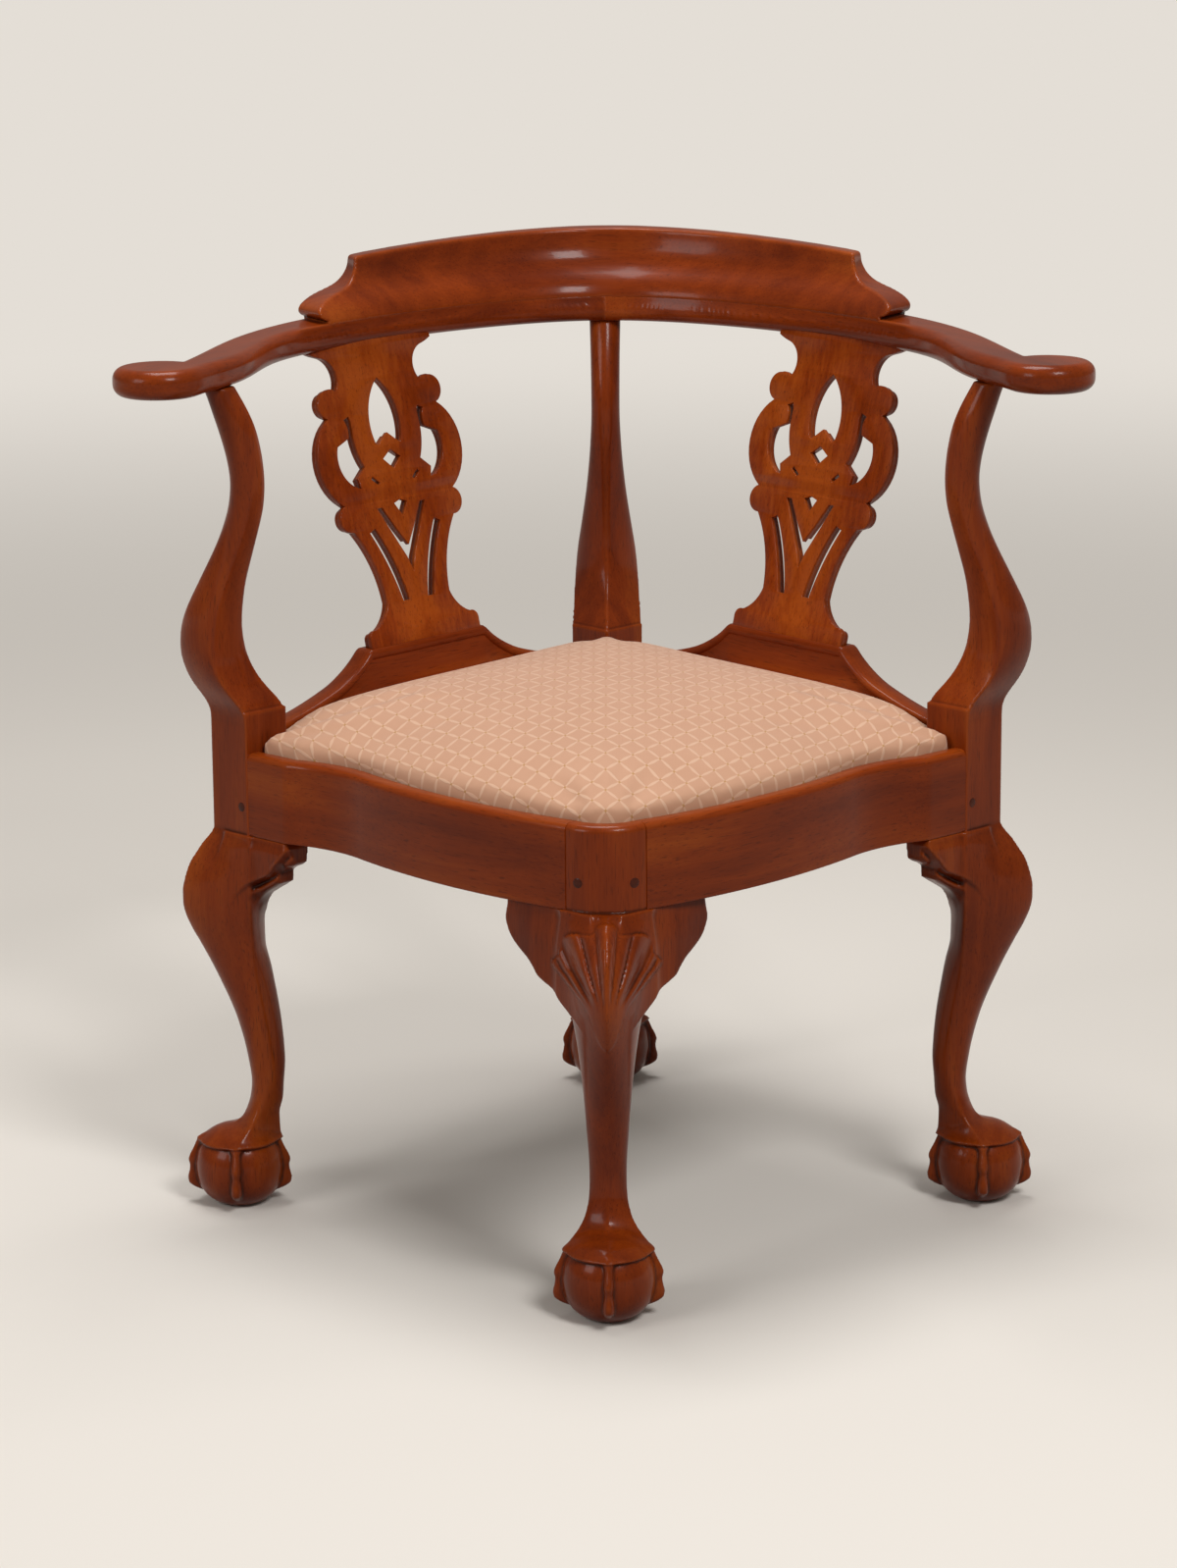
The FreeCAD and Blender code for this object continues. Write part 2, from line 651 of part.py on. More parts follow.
def post_holes():
    """Return the holes in the arms for the heads of the posts and their round tenons."""
    radius = POST_TENON_DIAMETER / 2 + CLEARANCE
    depth = POST_TENON_LONG + CLEARANCE
    holes = []
    side = post_head(SIDE_POST_LEAN, 0.0)
    rear = post_head(0.0, REAR_POST_LEAN)
    for x, y in ((-SIDE_STILE_X - side.x, side.y), (0.0, REAR_STILE_Y + rear.x)):
        holes.append(Part.makeCylinder(radius, depth, Vector(x, y, ARM_UNDERSIDE)))
    return holes


def arm_edge(pairs, height):
    """Return a smooth edge of the arm through plan points, carried past the middle of the back."""
    points = [Vector(x, y, height) for x, y in pairs]
    before = points[-2]
    points.append(Vector(-before.x, before.y, height))
    curve = Part.BSplineCurve()
    curve.interpolate(points)
    return curve


def edge_point(curve, x, inward):
    """Return the point beside an arm's edge, this far inward from it, that lies at x."""
    low = curve.FirstParameter
    high = curve.LastParameter

    def beside(parameter):
        """Return the point beside the edge at a parameter."""
        way = curve.tangent(parameter)[0]
        return curve.value(parameter) + Vector(-way.y, way.x, 0) * inward

    for _ in range(40):
        middle = (low + high) / 2
        if beside(middle).x < x:
            low = middle
        else:
            high = middle
    return beside((low + high) / 2)


def crest_wire(height, set_back, half_length, back_inset):
    """Return the crest rail's outline at one height, ends cut square across."""
    z = ARM_TOP + height
    half_curves = (
        (arm_edge(ARM_INNER, z), set_back),
        (arm_edge(ARM_OUTER, z), -back_inset),
    )
    edges = []
    tips = []
    for curve, inward in half_curves:
        side = [edge_point(curve, -half_length * share, inward) for share in (1.0, 0.72, 0.36)]
        top = edge_point(curve, 0.0, inward)
        top = Vector(0.0, top.y, z)
        points = side + [top] + [flipped(point) for point in reversed(side)]
        line = Part.BSplineCurve()
        line.interpolate(points)
        edges.append(line.toShape())
        tips.append(points[0])
    edges.append(Part.LineSegment(tips[0], tips[1]).toShape())
    edges.append(Part.LineSegment(flipped(tips[0]), flipped(tips[1])).toShape())
    return Part.Wire(Part.__sortEdges__(edges))


def crest_rail():
    """Return the crest rail, hollow-faced above and full below, with returned ends."""
    wires = []
    for height, set_back, half_length in CREST_SECTIONS:
        wires.append(crest_wire(height, set_back, half_length, CREST_BACK_INSET))
    crest = Part.makeLoft(wires, True, False)
    low = CREST_TOP - CREST_END_DROP
    high = CREST_TOP + CREST_RISE
    first = Vector(-CREST_ARCH_REACH, 0, low)
    last = Vector(CREST_ARCH_REACH, 0, low)
    first_high = Vector(-CREST_ARCH_REACH, 0, high)
    last_high = Vector(CREST_ARCH_REACH, 0, high)
    arch = face_of([
        (first, Vector(0, 0, CREST_TOP), last),
        (last, last_high),
        (last_high, first_high),
        (first_high, first),
    ]).extrude(Vector(0, 2 * REAR_STILE_Y, 0))
    crest = crest.cut(arch)
    for screw in crest_screws(0.0):
        crest = crest.cut(screw)
        crest = crest.cut(mirrored(screw))
    return crest


def crest_screws(grow):
    """Return the screws that come up through the middle of one arm into the crest rail."""
    inner = arm_edge(ARM_INNER, ARM_UNDERSIDE)
    outer = arm_edge(ARM_OUTER, ARM_UNDERSIDE)
    splat_end = REAR_LINE.at(SPLAT_ALONG + SPLAT_HEAD_HALF, SPLAT_HEAD_OUT)
    radius = CREST_SCREW_DIAMETER / 2 + grow
    screws = []
    for x in (-CREST_SCREW_AT, splat_end.x + CREST_SCREW_PAST_SPLAT):
        place = (edge_point(inner, x, 0.0) + edge_point(outer, x, 0.0)) * 0.5
        shank = Part.makeCylinder(radius, CREST_SCREW_LONG, place)
        head = Part.makeCone(CREST_SCREW_HEAD / 2 + grow, radius, CREST_SCREW_HEAD_DEEP, place)
        screws.append(shank.fuse(head))
    return screws


def splat_axes():
    """Return the splat's foot centre, its directions across, up and forward, and its length."""
    line = REAR_LINE
    foot_middle = line.at(SPLAT_ALONG, SPLAT_FOOT_OUT, SHOE_TOP)
    head_middle = line.at(SPLAT_ALONG, SPLAT_HEAD_OUT, ARM_UNDERSIDE)
    rise = head_middle - foot_middle
    length = rise.Length
    rise.normalize()
    return foot_middle, line.way, rise, line.way.cross(rise), length


def splat():
    """Return the pierced splat on the sitter's right, tongued into its shoe and the arm."""
    origin, across, rise, normal, real_length = splat_axes()
    length = SPLAT_DRAWN_LENGTH
    stretch = real_length / length

    def at(x, y):
        """Return a point on the splat's front plane, its height stretched to the real length."""
        return origin + across * x + rise * (y * stretch) - normal * (SPLAT_THICK / 2)

    def outline(points):
        """Return a flat face through splat points."""
        return polygon([at(x, y) for x, y in points])

    def arc_run(*pairs):
        """Return an arc or line between splat points."""
        return tuple(at(x, y) for x, y in pairs)

    foot_half = SPLAT_FOOT_HALF
    head_half = SPLAT_HEAD_HALF
    half = [
        ((foot_half, -SPLAT_TONGUE), (foot_half, 6.0)),
        ((foot_half, 6.0), (62.0, 12.0), (56.0, 13.5)),
        ((56.0, 13.5), (45.5, 20.0), (36.5, 34.0)),
        ((36.5, 34.0), (40.5, 60.0), (59.0, 96.5)),
        ((59.0, 96.5), (71.5, 107.0), (64.0, 119.0)),
        ((64.0, 119.0), (84.0, 157.0), (64.0, 192.5)),
        ((64.0, 192.5), (72.0, 206.5), (60.0, 216.5)),
        ((60.0, 216.5), (54.0, 216.8), (49.5, 214.0)),
        ((49.5, 214.0), (45.5, 230.0), (58.0, 243.0)),
        ((58.0, 243.0), (66.0, 245.5), (head_half, length - 2.0)),
        ((head_half, length - 2.0), (head_half, length + SPLAT_TONGUE)),
    ]
    runs = [arc_run(*run) for run in half]
    top_right = half[-1][-1]
    runs.append(arc_run(top_right, (-top_right[0], top_right[1])))
    for run in reversed(half):
        runs.append(arc_run(*[(-x, y) for x, y in reversed(run)]))
    runs.append(arc_run((-foot_half, -SPLAT_TONGUE), (foot_half, -SPLAT_TONGUE)))
    body = face_of(runs).extrude(normal * SPLAT_THICK)
    leaf = face_of([
        arc_run((0.0, 222.0), (15.5, 200.0), (12.5, 168.5)),
        arc_run((12.5, 168.5), (4.0, 171.5), (0.0, 176.0)),
        arc_run((0.0, 176.0), (-4.0, 171.5), (-12.5, 168.5)),
        arc_run((-12.5, 168.5), (-15.5, 200.0), (0.0, 222.0)),
    ])
    diamond = outline([(0.0, 145.5), (7.0, 153.5), (0.0, 161.0), (-7.0, 153.5)])
    triangle = outline([(0.0, 103.0), (7.5, 114.5), (0.0, 117.0), (-7.5, 114.5)])
    vee = outline([(0.0, 56.0), (4.5, 69.0), (13.0, 84.5), (28.0, 112.5), (22.0, 112.5),
                   (9.5, 92.0), (0.0, 78.5), (-9.5, 92.0), (-22.0, 112.5), (-28.0, 112.5),
                   (-13.0, 84.5), (-4.5, 69.0)])
    holes = [leaf, diamond, triangle, vee]
    for side in (1, -1):
        loop = face_of([
            arc_run((side * 40.5, 174.0), (side * 40.5, 190.0)),
            arc_run((side * 40.5, 190.0), (side * 47.5, 192.0)),
            arc_run((side * 47.5, 192.0), (side * 46.5, 182.0), (side * 50.0, 173.5)),
            arc_run((side * 50.0, 173.5), (side * 57.5, 169.0)),
            arc_run((side * 57.5, 169.0), (side * 57.5, 152.0), (side * 42.5, 133.5)),
            arc_run((side * 42.5, 133.5), (side * 44.0, 141.5)),
            arc_run((side * 44.0, 141.5), (side * 32.5, 150.5)),
            arc_run((side * 32.5, 150.5), (side * 38.0, 161.0), (side * 40.5, 174.0)),
        ])
        slot = face_of([
            arc_run((side * 18.3, 33.0), (side * 27.0, 62.0), (side * 41.5, 93.5)),
            arc_run((side * 41.5, 93.5), (side * 35.0, 96.5)),
            arc_run((side * 35.0, 96.5), (side * 19.5, 65.0), (side * 10.8, 33.0)),
            arc_run((side * 10.8, 33.0), (side * 18.3, 33.0)),
        ])
        slit = outline([(side * 18.5, 134.5), (side * 20.0, 132.3), (side * 28.0, 138.3),
                        (side * 26.5, 140.5)])
        holes.extend([loop, slot, slit])
    for hole in holes:
        body = body.cut(hole.extrude(normal * SPLAT_THICK))
    trimmed = body.common(splat_room())
    return largest(trimmed)


def splat_room(grow=0.0):
    """Return the space between the shoe's groove and the arm's groove."""
    bottom = SHOE_TOP - SPLAT_TONGUE / 2 - grow
    top = ARM_UNDERSIDE + SPLAT_TONGUE / 2 + grow
    return Part.makeBox(1200, 1200, top - bottom, Vector(-600, -600, bottom))


def splat_grooves():
    """Return the grooves for the splat's foot and head."""
    origin, across, rise, normal, length = splat_axes()
    grooves = []
    for half, low, high in ((SPLAT_FOOT_HALF, -20.0, 12.0), (SPLAT_HEAD_HALF, length - 12.0,
                                                           length + 20.0)):
        wide = half + CLEARANCE
        thick = SPLAT_THICK / 2 + CLEARANCE
        corners = [origin + across * x + rise * y - normal * thick
                   for x, y in ((-wide, low), (wide, low), (wide, high), (-wide, high))]
        grooves.append(polygon(corners).extrude(normal * (thick * 2)).common(splat_room(CLEARANCE)))
    return grooves


def splat_shoe():
    """Return the moulded shoe that stands on a rear rail and carries its splat."""
    line = REAR_LINE
    near = REAR_FACE
    length = line.length
    base = RAIL_TOP
    profile = [
        (SHOE_BACK_OUT, base),
        (SHOE_BACK_OUT, SHOE_TOP - SHOE_BEAD_HIGH),
        (SHOE_TOP_BACK_OUT, SHOE_TOP),
        (SHOE_TOP_FRONT_OUT, SHOE_TOP),
        (SHOE_TOP_FRONT_OUT - SHOE_BEAD_PROUD, SHOE_TOP - SHOE_BEAD_HIGH),
        (SHOE_TOP_FRONT_OUT, SHOE_TOP - SHOE_BEAD_LOW),
        (SHOE_FRONT_OUT + SHOE_COVE_OUT, SHOE_TOP - SHOE_COVE_LOW),
        (SHOE_FRONT_OUT, base),
    ]
    corners = [line.at(0.0, out, height) for out, height in profile]
    block = polygon(corners).extrude(line.way * length)
    ogee_low = RAIL_TOP + SHOE_END_UP
    start = line.shoulder(REAR_LEDGE_OUT, near)
    first_top = SPLAT_ALONG - SPLAT_FOOT_HALF - SHOE_PAST_SPLAT
    last_top = SPLAT_ALONG + SPLAT_FOOT_HALF + SHOE_PAST_SPLAT
    middle = SHOE_END_SHARE

    def side(along, height):
        """Return a point on the shoe's back plane, for its side outline."""
        return line.at(along, SHOE_BACK_OUT + 5.0, height)

    def ogee(from_along, to_along):
        """Return the two arcs of the shoe's swept end, from the post up to the splat."""
        span = to_along - from_along
        rise = SHOE_TOP - ogee_low
        turn = side(from_along + span * middle, ogee_low + rise * 0.5)
        return [
            (side(from_along, ogee_low), side(from_along + span * 0.34, ogee_low + rise * 0.17), turn),
            (turn, side(from_along + span * 0.78, ogee_low + rise * 0.86), side(to_along, SHOE_TOP)),
        ]

    rising = ogee(start, first_top)
    falling = [tuple(reversed(run)) for run in reversed(ogee(length - start, last_top))]
    outline = rising + [(side(first_top, SHOE_TOP), side(last_top, SHOE_TOP))] + falling
    outline += [
        (side(length - start, ogee_low), side(length, ogee_low)),
        (side(length, ogee_low), side(length, base)),
        (side(length, base), side(0.0, base)),
        (side(0.0, base), side(0.0, ogee_low)),
        (side(0.0, ogee_low), side(start, ogee_low)),
    ]
    side_face = face_of(outline).extrude(line.out * -(SHOE_BACK_OUT - SHOE_FRONT_OUT + 12.0))
    shoe = block.common(side_face)
    shoe = shoe.cut(stile_prism(SIDE_CENTRE, base - 1, SHOE_TOP + 40))
    shoe = shoe.cut(stile_prism((0.0, REAR_STILE_Y), base - 1, SHOE_TOP + 40))
    return largest(shoe)


def front_stile():
    """Return the front leg's short stile, its corner rounded to carry on the rails' curve."""
    stile = stile_prism((0.0, 0.0), RAIL_BOTTOM, RAIL_TOP)
    nose = FRONT_STILE_Y - FRONT_CORNER_Y
    side = DIAGONAL + 1.0
    low = FRONT_SEAM_OUT
    z = RAIL_BOTTOM
    keep = face_of([
        (Vector(low, -side, z), Vector(nose, 0, z), Vector(low, side, z)),
        (Vector(low, side, z), Vector(-2 * side, side, z)),
        (Vector(-2 * side, side, z), Vector(-2 * side, -side, z)),
        (Vector(-2 * side, -side, z), Vector(low, -side, z)),
    ]).extrude(Vector(0, 0, RAIL_TOP - RAIL_BOTTOM))
    rounds = [edge for edge in keep.Edges
              if edge.BoundBox.ZMin > RAIL_TOP - 0.01 and edge.BoundBox.XMin > -1.0]
    return stile.common(keep.makeFillet(LIP_ROUND, rounds))


def knee_block(line, at_end, outline):
    """Return the shaped block under a rail beside a knee, before the leg is cut from it."""
    runs = []
    for run in outline:
        points = []
        for along, drop in run:
            place = line.length - along if at_end else along
            points.append(line.at(place, RAIL_OUT, RAIL_BOTTOM - drop))
        runs.append(tuple(points))
    return face_of(runs).extrude(line.out * -KNEE_BLOCK_THICK)


def meeting(first, first_way, second, second_way):
    """Return the plan point where two straight lines cross."""
    gap = second - first
    turn = first_way.x * second_way.y - first_way.y * second_way.x
    along = (gap.x * second_way.y - gap.y * second_way.x) / turn
    return first + first_way * along


def flipped(point):
    """Return the plan point or direction on the other side of the chair."""
    return Vector(-point.x, point.y, point.z)


def corner_places():
    """Return each inner corner: its name, stile centre, apex and its two rails' ways and faces."""
    front_face = FRONT_LINE.at(0.0, FRONT_RAIL_IN)
    rear_face = REAR_LINE.at(0.0, REAR_RAIL_IN)
    front_way = FRONT_LINE.way
    rear_way = REAR_LINE.way
    places = []
    for name, centre, face, line in (
            ("front_corner_block", (0.0, FRONT_STILE_Y), front_face, FRONT_LINE),
            ("rear_corner_block", (0.0, REAR_STILE_Y), rear_face, REAR_LINE)):
        apex = meeting(face, line.way, flipped(face), flipped(line.way))
        back = line.way * -1
        places.append((name, centre, apex, (back, line.out), (flipped(back), flipped(line.out))))
    apex = meeting(front_face, front_way, rear_face, rear_way)
    places.append(("left_corner_block", SIDE_CENTRE, apex, (front_way, FRONT_LINE.out),
                   (rear_way, REAR_LINE.out)))
    return places


def corner_block(place):
    """Return one glue block inside a corner of the rails, and the screws that hold it."""
    name, centre, apex, first, second = place
    base = Vector(apex.x, apex.y, CORNER_BLOCK_BOTTOM)
    corners = [base, base + first[0] * CORNER_BLOCK_REACH, base + second[0] * CORNER_BLOCK_REACH]
    block = polygon(corners).extrude(Vector(0, 0, CORNER_BLOCK_TOP - CORNER_BLOCK_BOTTOM))
    block = block.cut(stile_prism(centre, CORNER_BLOCK_BOTTOM - 1, CORNER_BLOCK_TOP + 1))
    middle = (CORNER_BLOCK_BOTTOM + CORNER_BLOCK_TOP) / 2
    screws = []
    for way, out in (first, second):
        on_face = Vector(apex.x, apex.y, middle) + way * CORNER_SCREW_AT
        seat = on_face - out * CORNER_SCREW_BITE
        shank = Part.makeCylinder(CORNER_SCREW_DIAMETER / 2, CORNER_SCREW_BITE * 2, seat, out)
        head = Part.makeCylinder(CORNER_SCREW_DIAMETER, CORNER_SCREW_HEAD, seat, out * -1)
        bore = Part.makeCylinder(CORNER_SCREW_DIAMETER + CLEARANCE, CORNER_BLOCK_REACH, seat,
                                 out * -1)
        screw = shank.fuse(head)
        screws.append(screw)
        block = block.cut([screw, bore])
    return name, largest(block), screws


def build():
    """Build every piece of the chair and return the shapes by name."""
    parts = {}
    front_left = front_rail()
    rear_left = rear_rail()

    # Legs
    shank = cabriole()
    below = shank.fuse(stile_prism((0.0, 0.0), RAIL_BOTTOM - 0.5, RAIL_BOTTOM + 2.0))
    side_top = stile_prism((0.0, 0.0), RAIL_BOTTOM, BLOCK_TOP)
    side_leg = below.fuse([side_top, arm_post(-SIDE_POST_LEAN, 0.0)])
    rear_leg = below.fuse([side_top, arm_post(0.0, REAR_POST_LEAN)])
    front_leg = below.fuse(front_stile())
    centres = {"left_leg": SIDE_CENTRE, "front_leg": (0.0, FRONT_STILE_Y),
               "rear_leg": (0.0, REAR_STILE_Y)}
    legs = {
        "left_leg": set_leg(side_leg, centres["left_leg"], 180.0),
        "front_leg": set_leg(front_leg, centres["front_leg"], -90.0),
        "rear_leg": set_leg(rear_leg, centres["rear_leg"], 90.0),
    }
    cutters = {name: largest(shape) for name, shape in legs.items()}
    joints = (
        ("left_leg", FRONT_LINE, False), ("left_leg", REAR_LINE, False),
        ("front_leg", FRONT_LINE, True), ("rear_leg", REAR_LINE, True),
    )
    pegs = []
    for name, line, at_end in joints:
        mortise = tenon(line, at_end, CLEARANCE)
        peg = rail_peg(line, at_end)
        legs[name] = legs[name].cut([mortise, peg])
        pegs.append(peg)
        if line is FRONT_LINE:
            front_left = front_left.cut(peg)
        else:
            rear_left = rear_left.cut(peg)
        if name != "left_leg":
            legs[name] = legs[name].cut([mirrored(mortise), mirrored(peg)])
    legs["front_leg"] = legs["front_leg"].cut(seat_well())
    parts["left_leg"] = largest(legs["left_leg"])
    parts["right_leg"] = mirrored(parts["left_leg"])
    parts["front_leg"] = largest(legs["front_leg"])
    parts["rear_leg"] = largest(legs["rear_leg"])
    parts["rail_pegs"] = Part.makeCompound(pegs + [mirrored(peg) for peg in pegs])

    # Corner blocks
    screws = []
    for place in corner_places():
        name, block, pair = corner_block(place)
        parts[name] = block
        screws.extend(pair)
        if name == "left_corner_block":
            parts["right_corner_block"] = mirrored(block)
            screws.extend(mirrored(screw) for screw in pair)
    parts["corner_block_screws"] = Part.makeCompound(screws)
    front_left = front_left.cut(screws)
    rear_left = rear_left.cut(screws)

    # Rails
    parts["front_left_rail"] = largest(front_left)
    parts["front_right_rail"] = mirrored(parts["front_left_rail"])
    parts["rear_left_rail"] = largest(rear_left)
    parts["rear_right_rail"] = mirrored(parts["rear_left_rail"])

    # Knee blocks
    blocks = (
        ("left_leg", "front", FRONT_LINE, False, SIDE_BLOCK),
        ("left_leg", "rear", REAR_LINE, False, SIDE_BLOCK),
        ("front_leg", "left", FRONT_LINE, True, FRONT_BLOCK),
        ("rear_leg", "left", REAR_LINE, True, SIDE_BLOCK),
    )
    for leg_name, side, line, at_end, outline in blocks:
        block = largest(knee_block(line, at_end, outline).cut(cutters[leg_name]))
        left_name = leg_name + "_" + side + "_knee_block"
        parts[left_name] = block
        parts[left_name.replace("left", "right")] = mirrored(block)

    # Arms, crest and splats
    side_arm = arm()
    back = splat()
    shoe = splat_shoe()
    grooves = splat_grooves()
    parts["left_splat"] = back
    parts["right_splat"] = mirrored(back)
    parts["left_splat_shoe"] = largest(shoe.cut(grooves[0]))
    parts["right_splat_shoe"] = mirrored(parts["left_splat_shoe"])
    parts["left_arm"] = largest(side_arm.cut(grooves[1]))
    parts["right_arm"] = mirrored(parts["left_arm"])
    parts["crest_rail"] = crest_rail()
    screws = crest_screws(0.0)
    parts["crest_screws"] = Part.makeCompound(screws + [mirrored(screw) for screw in screws])

    # Loose seat
    frame = seat_frame()
    layers = seat_layers()
    tacks = seat_tacks()
    for name in ("seat_cover", "seat_dust_cover"):
        layers[name] = layers[name].cut(tacks)
    for name, shape in frame.items():
        frame[name] = shape.cut(tacks)
    parts.update(frame)
    parts.update(layers)
    parts["seat_tacks"] = Part.makeCompound(tacks)
    return parts


def main():
    """Write one STEP file for each piece."""
    os.makedirs("parts", exist_ok=True)
    for name, shape in build().items():
        shape.translate(Vector(0, -PLAN_CENTRE_Y, 0))
        shape.exportStep("parts/" + name + ".step")
        box = shape.BoundBox
        print("%-28s solids %2d valid %s volume %10.0f box %6.1f %6.1f %6.1f  %6.1f %6.1f %6.1f" % (
            name, len(shape.Solids), shape.isValid(), shape.Volume,
            box.XMin, box.YMin, box.ZMin, box.XMax, box.YMax, box.ZMax))


main()
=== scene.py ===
"""Looks of the corner chair: carved legs, swept rails, pierced splats, arms, crest and loose seat.

Sizes are millimetres in the joiner's frame, whose side stiles stand on Y = 0; metres() turns them
into the part's frame.
"""
import logging
import math
from collections.abc import Callable, Sequence
from dataclasses import dataclass
from enum import Enum

import bmesh
import bpy
import numpy as np
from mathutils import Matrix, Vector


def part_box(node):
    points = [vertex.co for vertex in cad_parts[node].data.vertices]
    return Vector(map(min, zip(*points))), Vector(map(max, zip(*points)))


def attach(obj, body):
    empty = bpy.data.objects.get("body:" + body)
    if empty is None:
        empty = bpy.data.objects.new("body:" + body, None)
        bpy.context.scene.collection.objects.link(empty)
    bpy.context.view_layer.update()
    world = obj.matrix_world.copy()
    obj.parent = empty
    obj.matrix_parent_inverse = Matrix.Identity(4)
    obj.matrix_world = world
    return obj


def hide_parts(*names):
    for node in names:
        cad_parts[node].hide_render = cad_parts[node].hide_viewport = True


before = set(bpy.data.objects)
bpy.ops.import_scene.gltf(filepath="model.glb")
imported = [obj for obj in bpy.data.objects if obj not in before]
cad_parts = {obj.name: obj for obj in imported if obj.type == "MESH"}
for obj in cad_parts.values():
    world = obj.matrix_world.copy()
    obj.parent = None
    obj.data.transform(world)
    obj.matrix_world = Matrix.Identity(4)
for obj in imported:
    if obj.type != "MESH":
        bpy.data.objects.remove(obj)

import openvdb
from mathutils import Euler, Matrix, Vector

LOG = logging.getLogger("corner_chair")
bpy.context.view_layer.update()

# Plan and heights of the frame
MM = 0.001
PLAN_SHIFT = -28.5
SIDE_STILE_X = 290.0
FRONT_STILE_Y = -262.0
REAR_STILE_Y = 319.0
STILE = 43.5
HALF = STILE / 2
DIAGONAL = STILE / math.sqrt(2.0)
RAIL_BOTTOM = 320.0
RAIL_TOP = 388.0
BLOCK_TOP = 421.0
ARM_UNDERSIDE = 687.0
ARM_THICK = 23.0
ARM_TOP = ARM_UNDERSIDE + ARM_THICK
CREST_TOP = 765.0
SHOE_TOP = 445.0
LEDGE = 372.0
LIP_WIDE = 13.0
LIP_ROUND = 6.0
RAIL_OUT = 22.0
FRONT_RAIL_IN = -12.0
REAR_RAIL_IN = -20.0
REAR_LEDGE_OUT = -9.0
PEG_HEIGHT = 343.0
PEG_FROM_EDGE = 7.5
HAIRLINE = 0.12
SHELL_TILT = math.radians(13.7)
NOSE_CENTRE = -29.2
NOSE_RADIUS = 43.0
SEAM_BITE = 0.8
HOLLOW_SHADE_AND_WEAR_REACH = 0.16

# Spacing of the points in which the legs are carved, closer for the one with the shell
LEG_PITCH = 1.31
SHELL_PITCH = 1.14

# Scale of a wave texture that gives one band to a unit, 20 radians of it being one at Scale 1
BAND_SCALE = 0.314

Array = np.ndarray
Pair = tuple[float, float]


class Side(Enum):
    """The viewer's side of the chair, with the sign of X there."""

    LEFT = -1.0
    RIGHT = 1.0


class Corner(Enum):
    """A leg's corner: its stile's centre in plan and the turn from local +X to the outside."""

    LEFT = ((-SIDE_STILE_X, 0.0), 180.0)
    FRONT = ((0.0, FRONT_STILE_Y), -90.0)
    REAR = ((0.0, REAR_STILE_Y), 90.0)


class Grain(Enum):
    """Which way the grain of a piece runs, as turns of the pattern about X, Y and Z."""

    UPRIGHT = (0.0, 90.0, 0.0)
    ACROSS = (0.0, 0.0, 0.0)
    FRONT_LEFT = (0.0, 0.0, 42.1)
    FRONT_RIGHT = (0.0, 0.0, -42.1)
    REAR_LEFT = (0.0, 0.0, -47.7)
    REAR_RIGHT = (0.0, 0.0, 47.7)
    ARM_LEFT = (0.0, 0.0, -58.0)
    ARM_RIGHT = (0.0, 0.0, 58.0)


def metres(points: Array) -> Array:
    """Turn joiner's millimetres into metres in the part's frame.

    Args:
        points: Places as rows of X, Y, Z in millimetres.

    Returns:
        The same places in metres.
    """
    return (np.asarray(points, dtype=float) + (0.0, PLAN_SHIFT, 0.0)) * MM


def linear(code: str) -> tuple[float, float, float, float]:
    """Turn an sRGB hex colour into linear values.

    Args:
        code: Six hex digits.

    Returns:
        Linear red, green and blue, and an alpha of 1.
    """
    values = []
    for start in (0, 2, 4):
        share = int(code[start:start + 2], 16) / 255
        values.append(share / 12.92 if share <= 0.04045 else ((share + 0.055) / 1.055) ** 2.4)
    return (values[0], values[1], values[2], 1.0)


def per_size(size_mm: float) -> float:
    """Return the texture scale at which one cell of a pattern is this many millimetres."""
    return 1.0 / (size_mm * MM)


def eased(share: Array) -> Array:
    """Return a share eased at both ends and held between 0 and 1."""
    held = np.clip(share, 0.0, 1.0)
    return held * held * (3 - 2 * held)


def curve_value(stations: Sequence[Pair], at: Array) -> Array:
    """Read a smooth curve without overshoot through stations.

    Args:
        stations: Pairs of place and value, in any order.
        at: The places to read.

    Returns:
        The values there, held level beyond the end stations.
    """
    ordered = sorted(stations)
    places = np.array([place for place, _ in ordered], dtype=float)
    values = np.array([value for _, value in ordered], dtype=float)
    slopes = np.diff(values) / np.diff(places)
    tangents = np.zeros(len(places))
    for index in range(1, len(places) - 1):
        before, after = slopes[index - 1], slopes[index]
        if before * after > 0:
            tangents[index] = 2 * before * after / (before + after)
    where = np.clip(np.asarray(at, dtype=float), places[0], places[-1])
    cell = np.clip(np.searchsorted(places, where) - 1, 0, len(slopes) - 1)
    width = places[cell + 1] - places[cell]
    share = (where - places[cell]) / width
    square = share * share
    cube = square * share
    return ((2 * cube - 3 * square + 1) * values[cell] + (cube - 2 * square + share) * width * tangents[cell]
            + (3 * square - 2 * cube) * values[cell + 1] + (cube - square) * width * tangents[cell + 1])


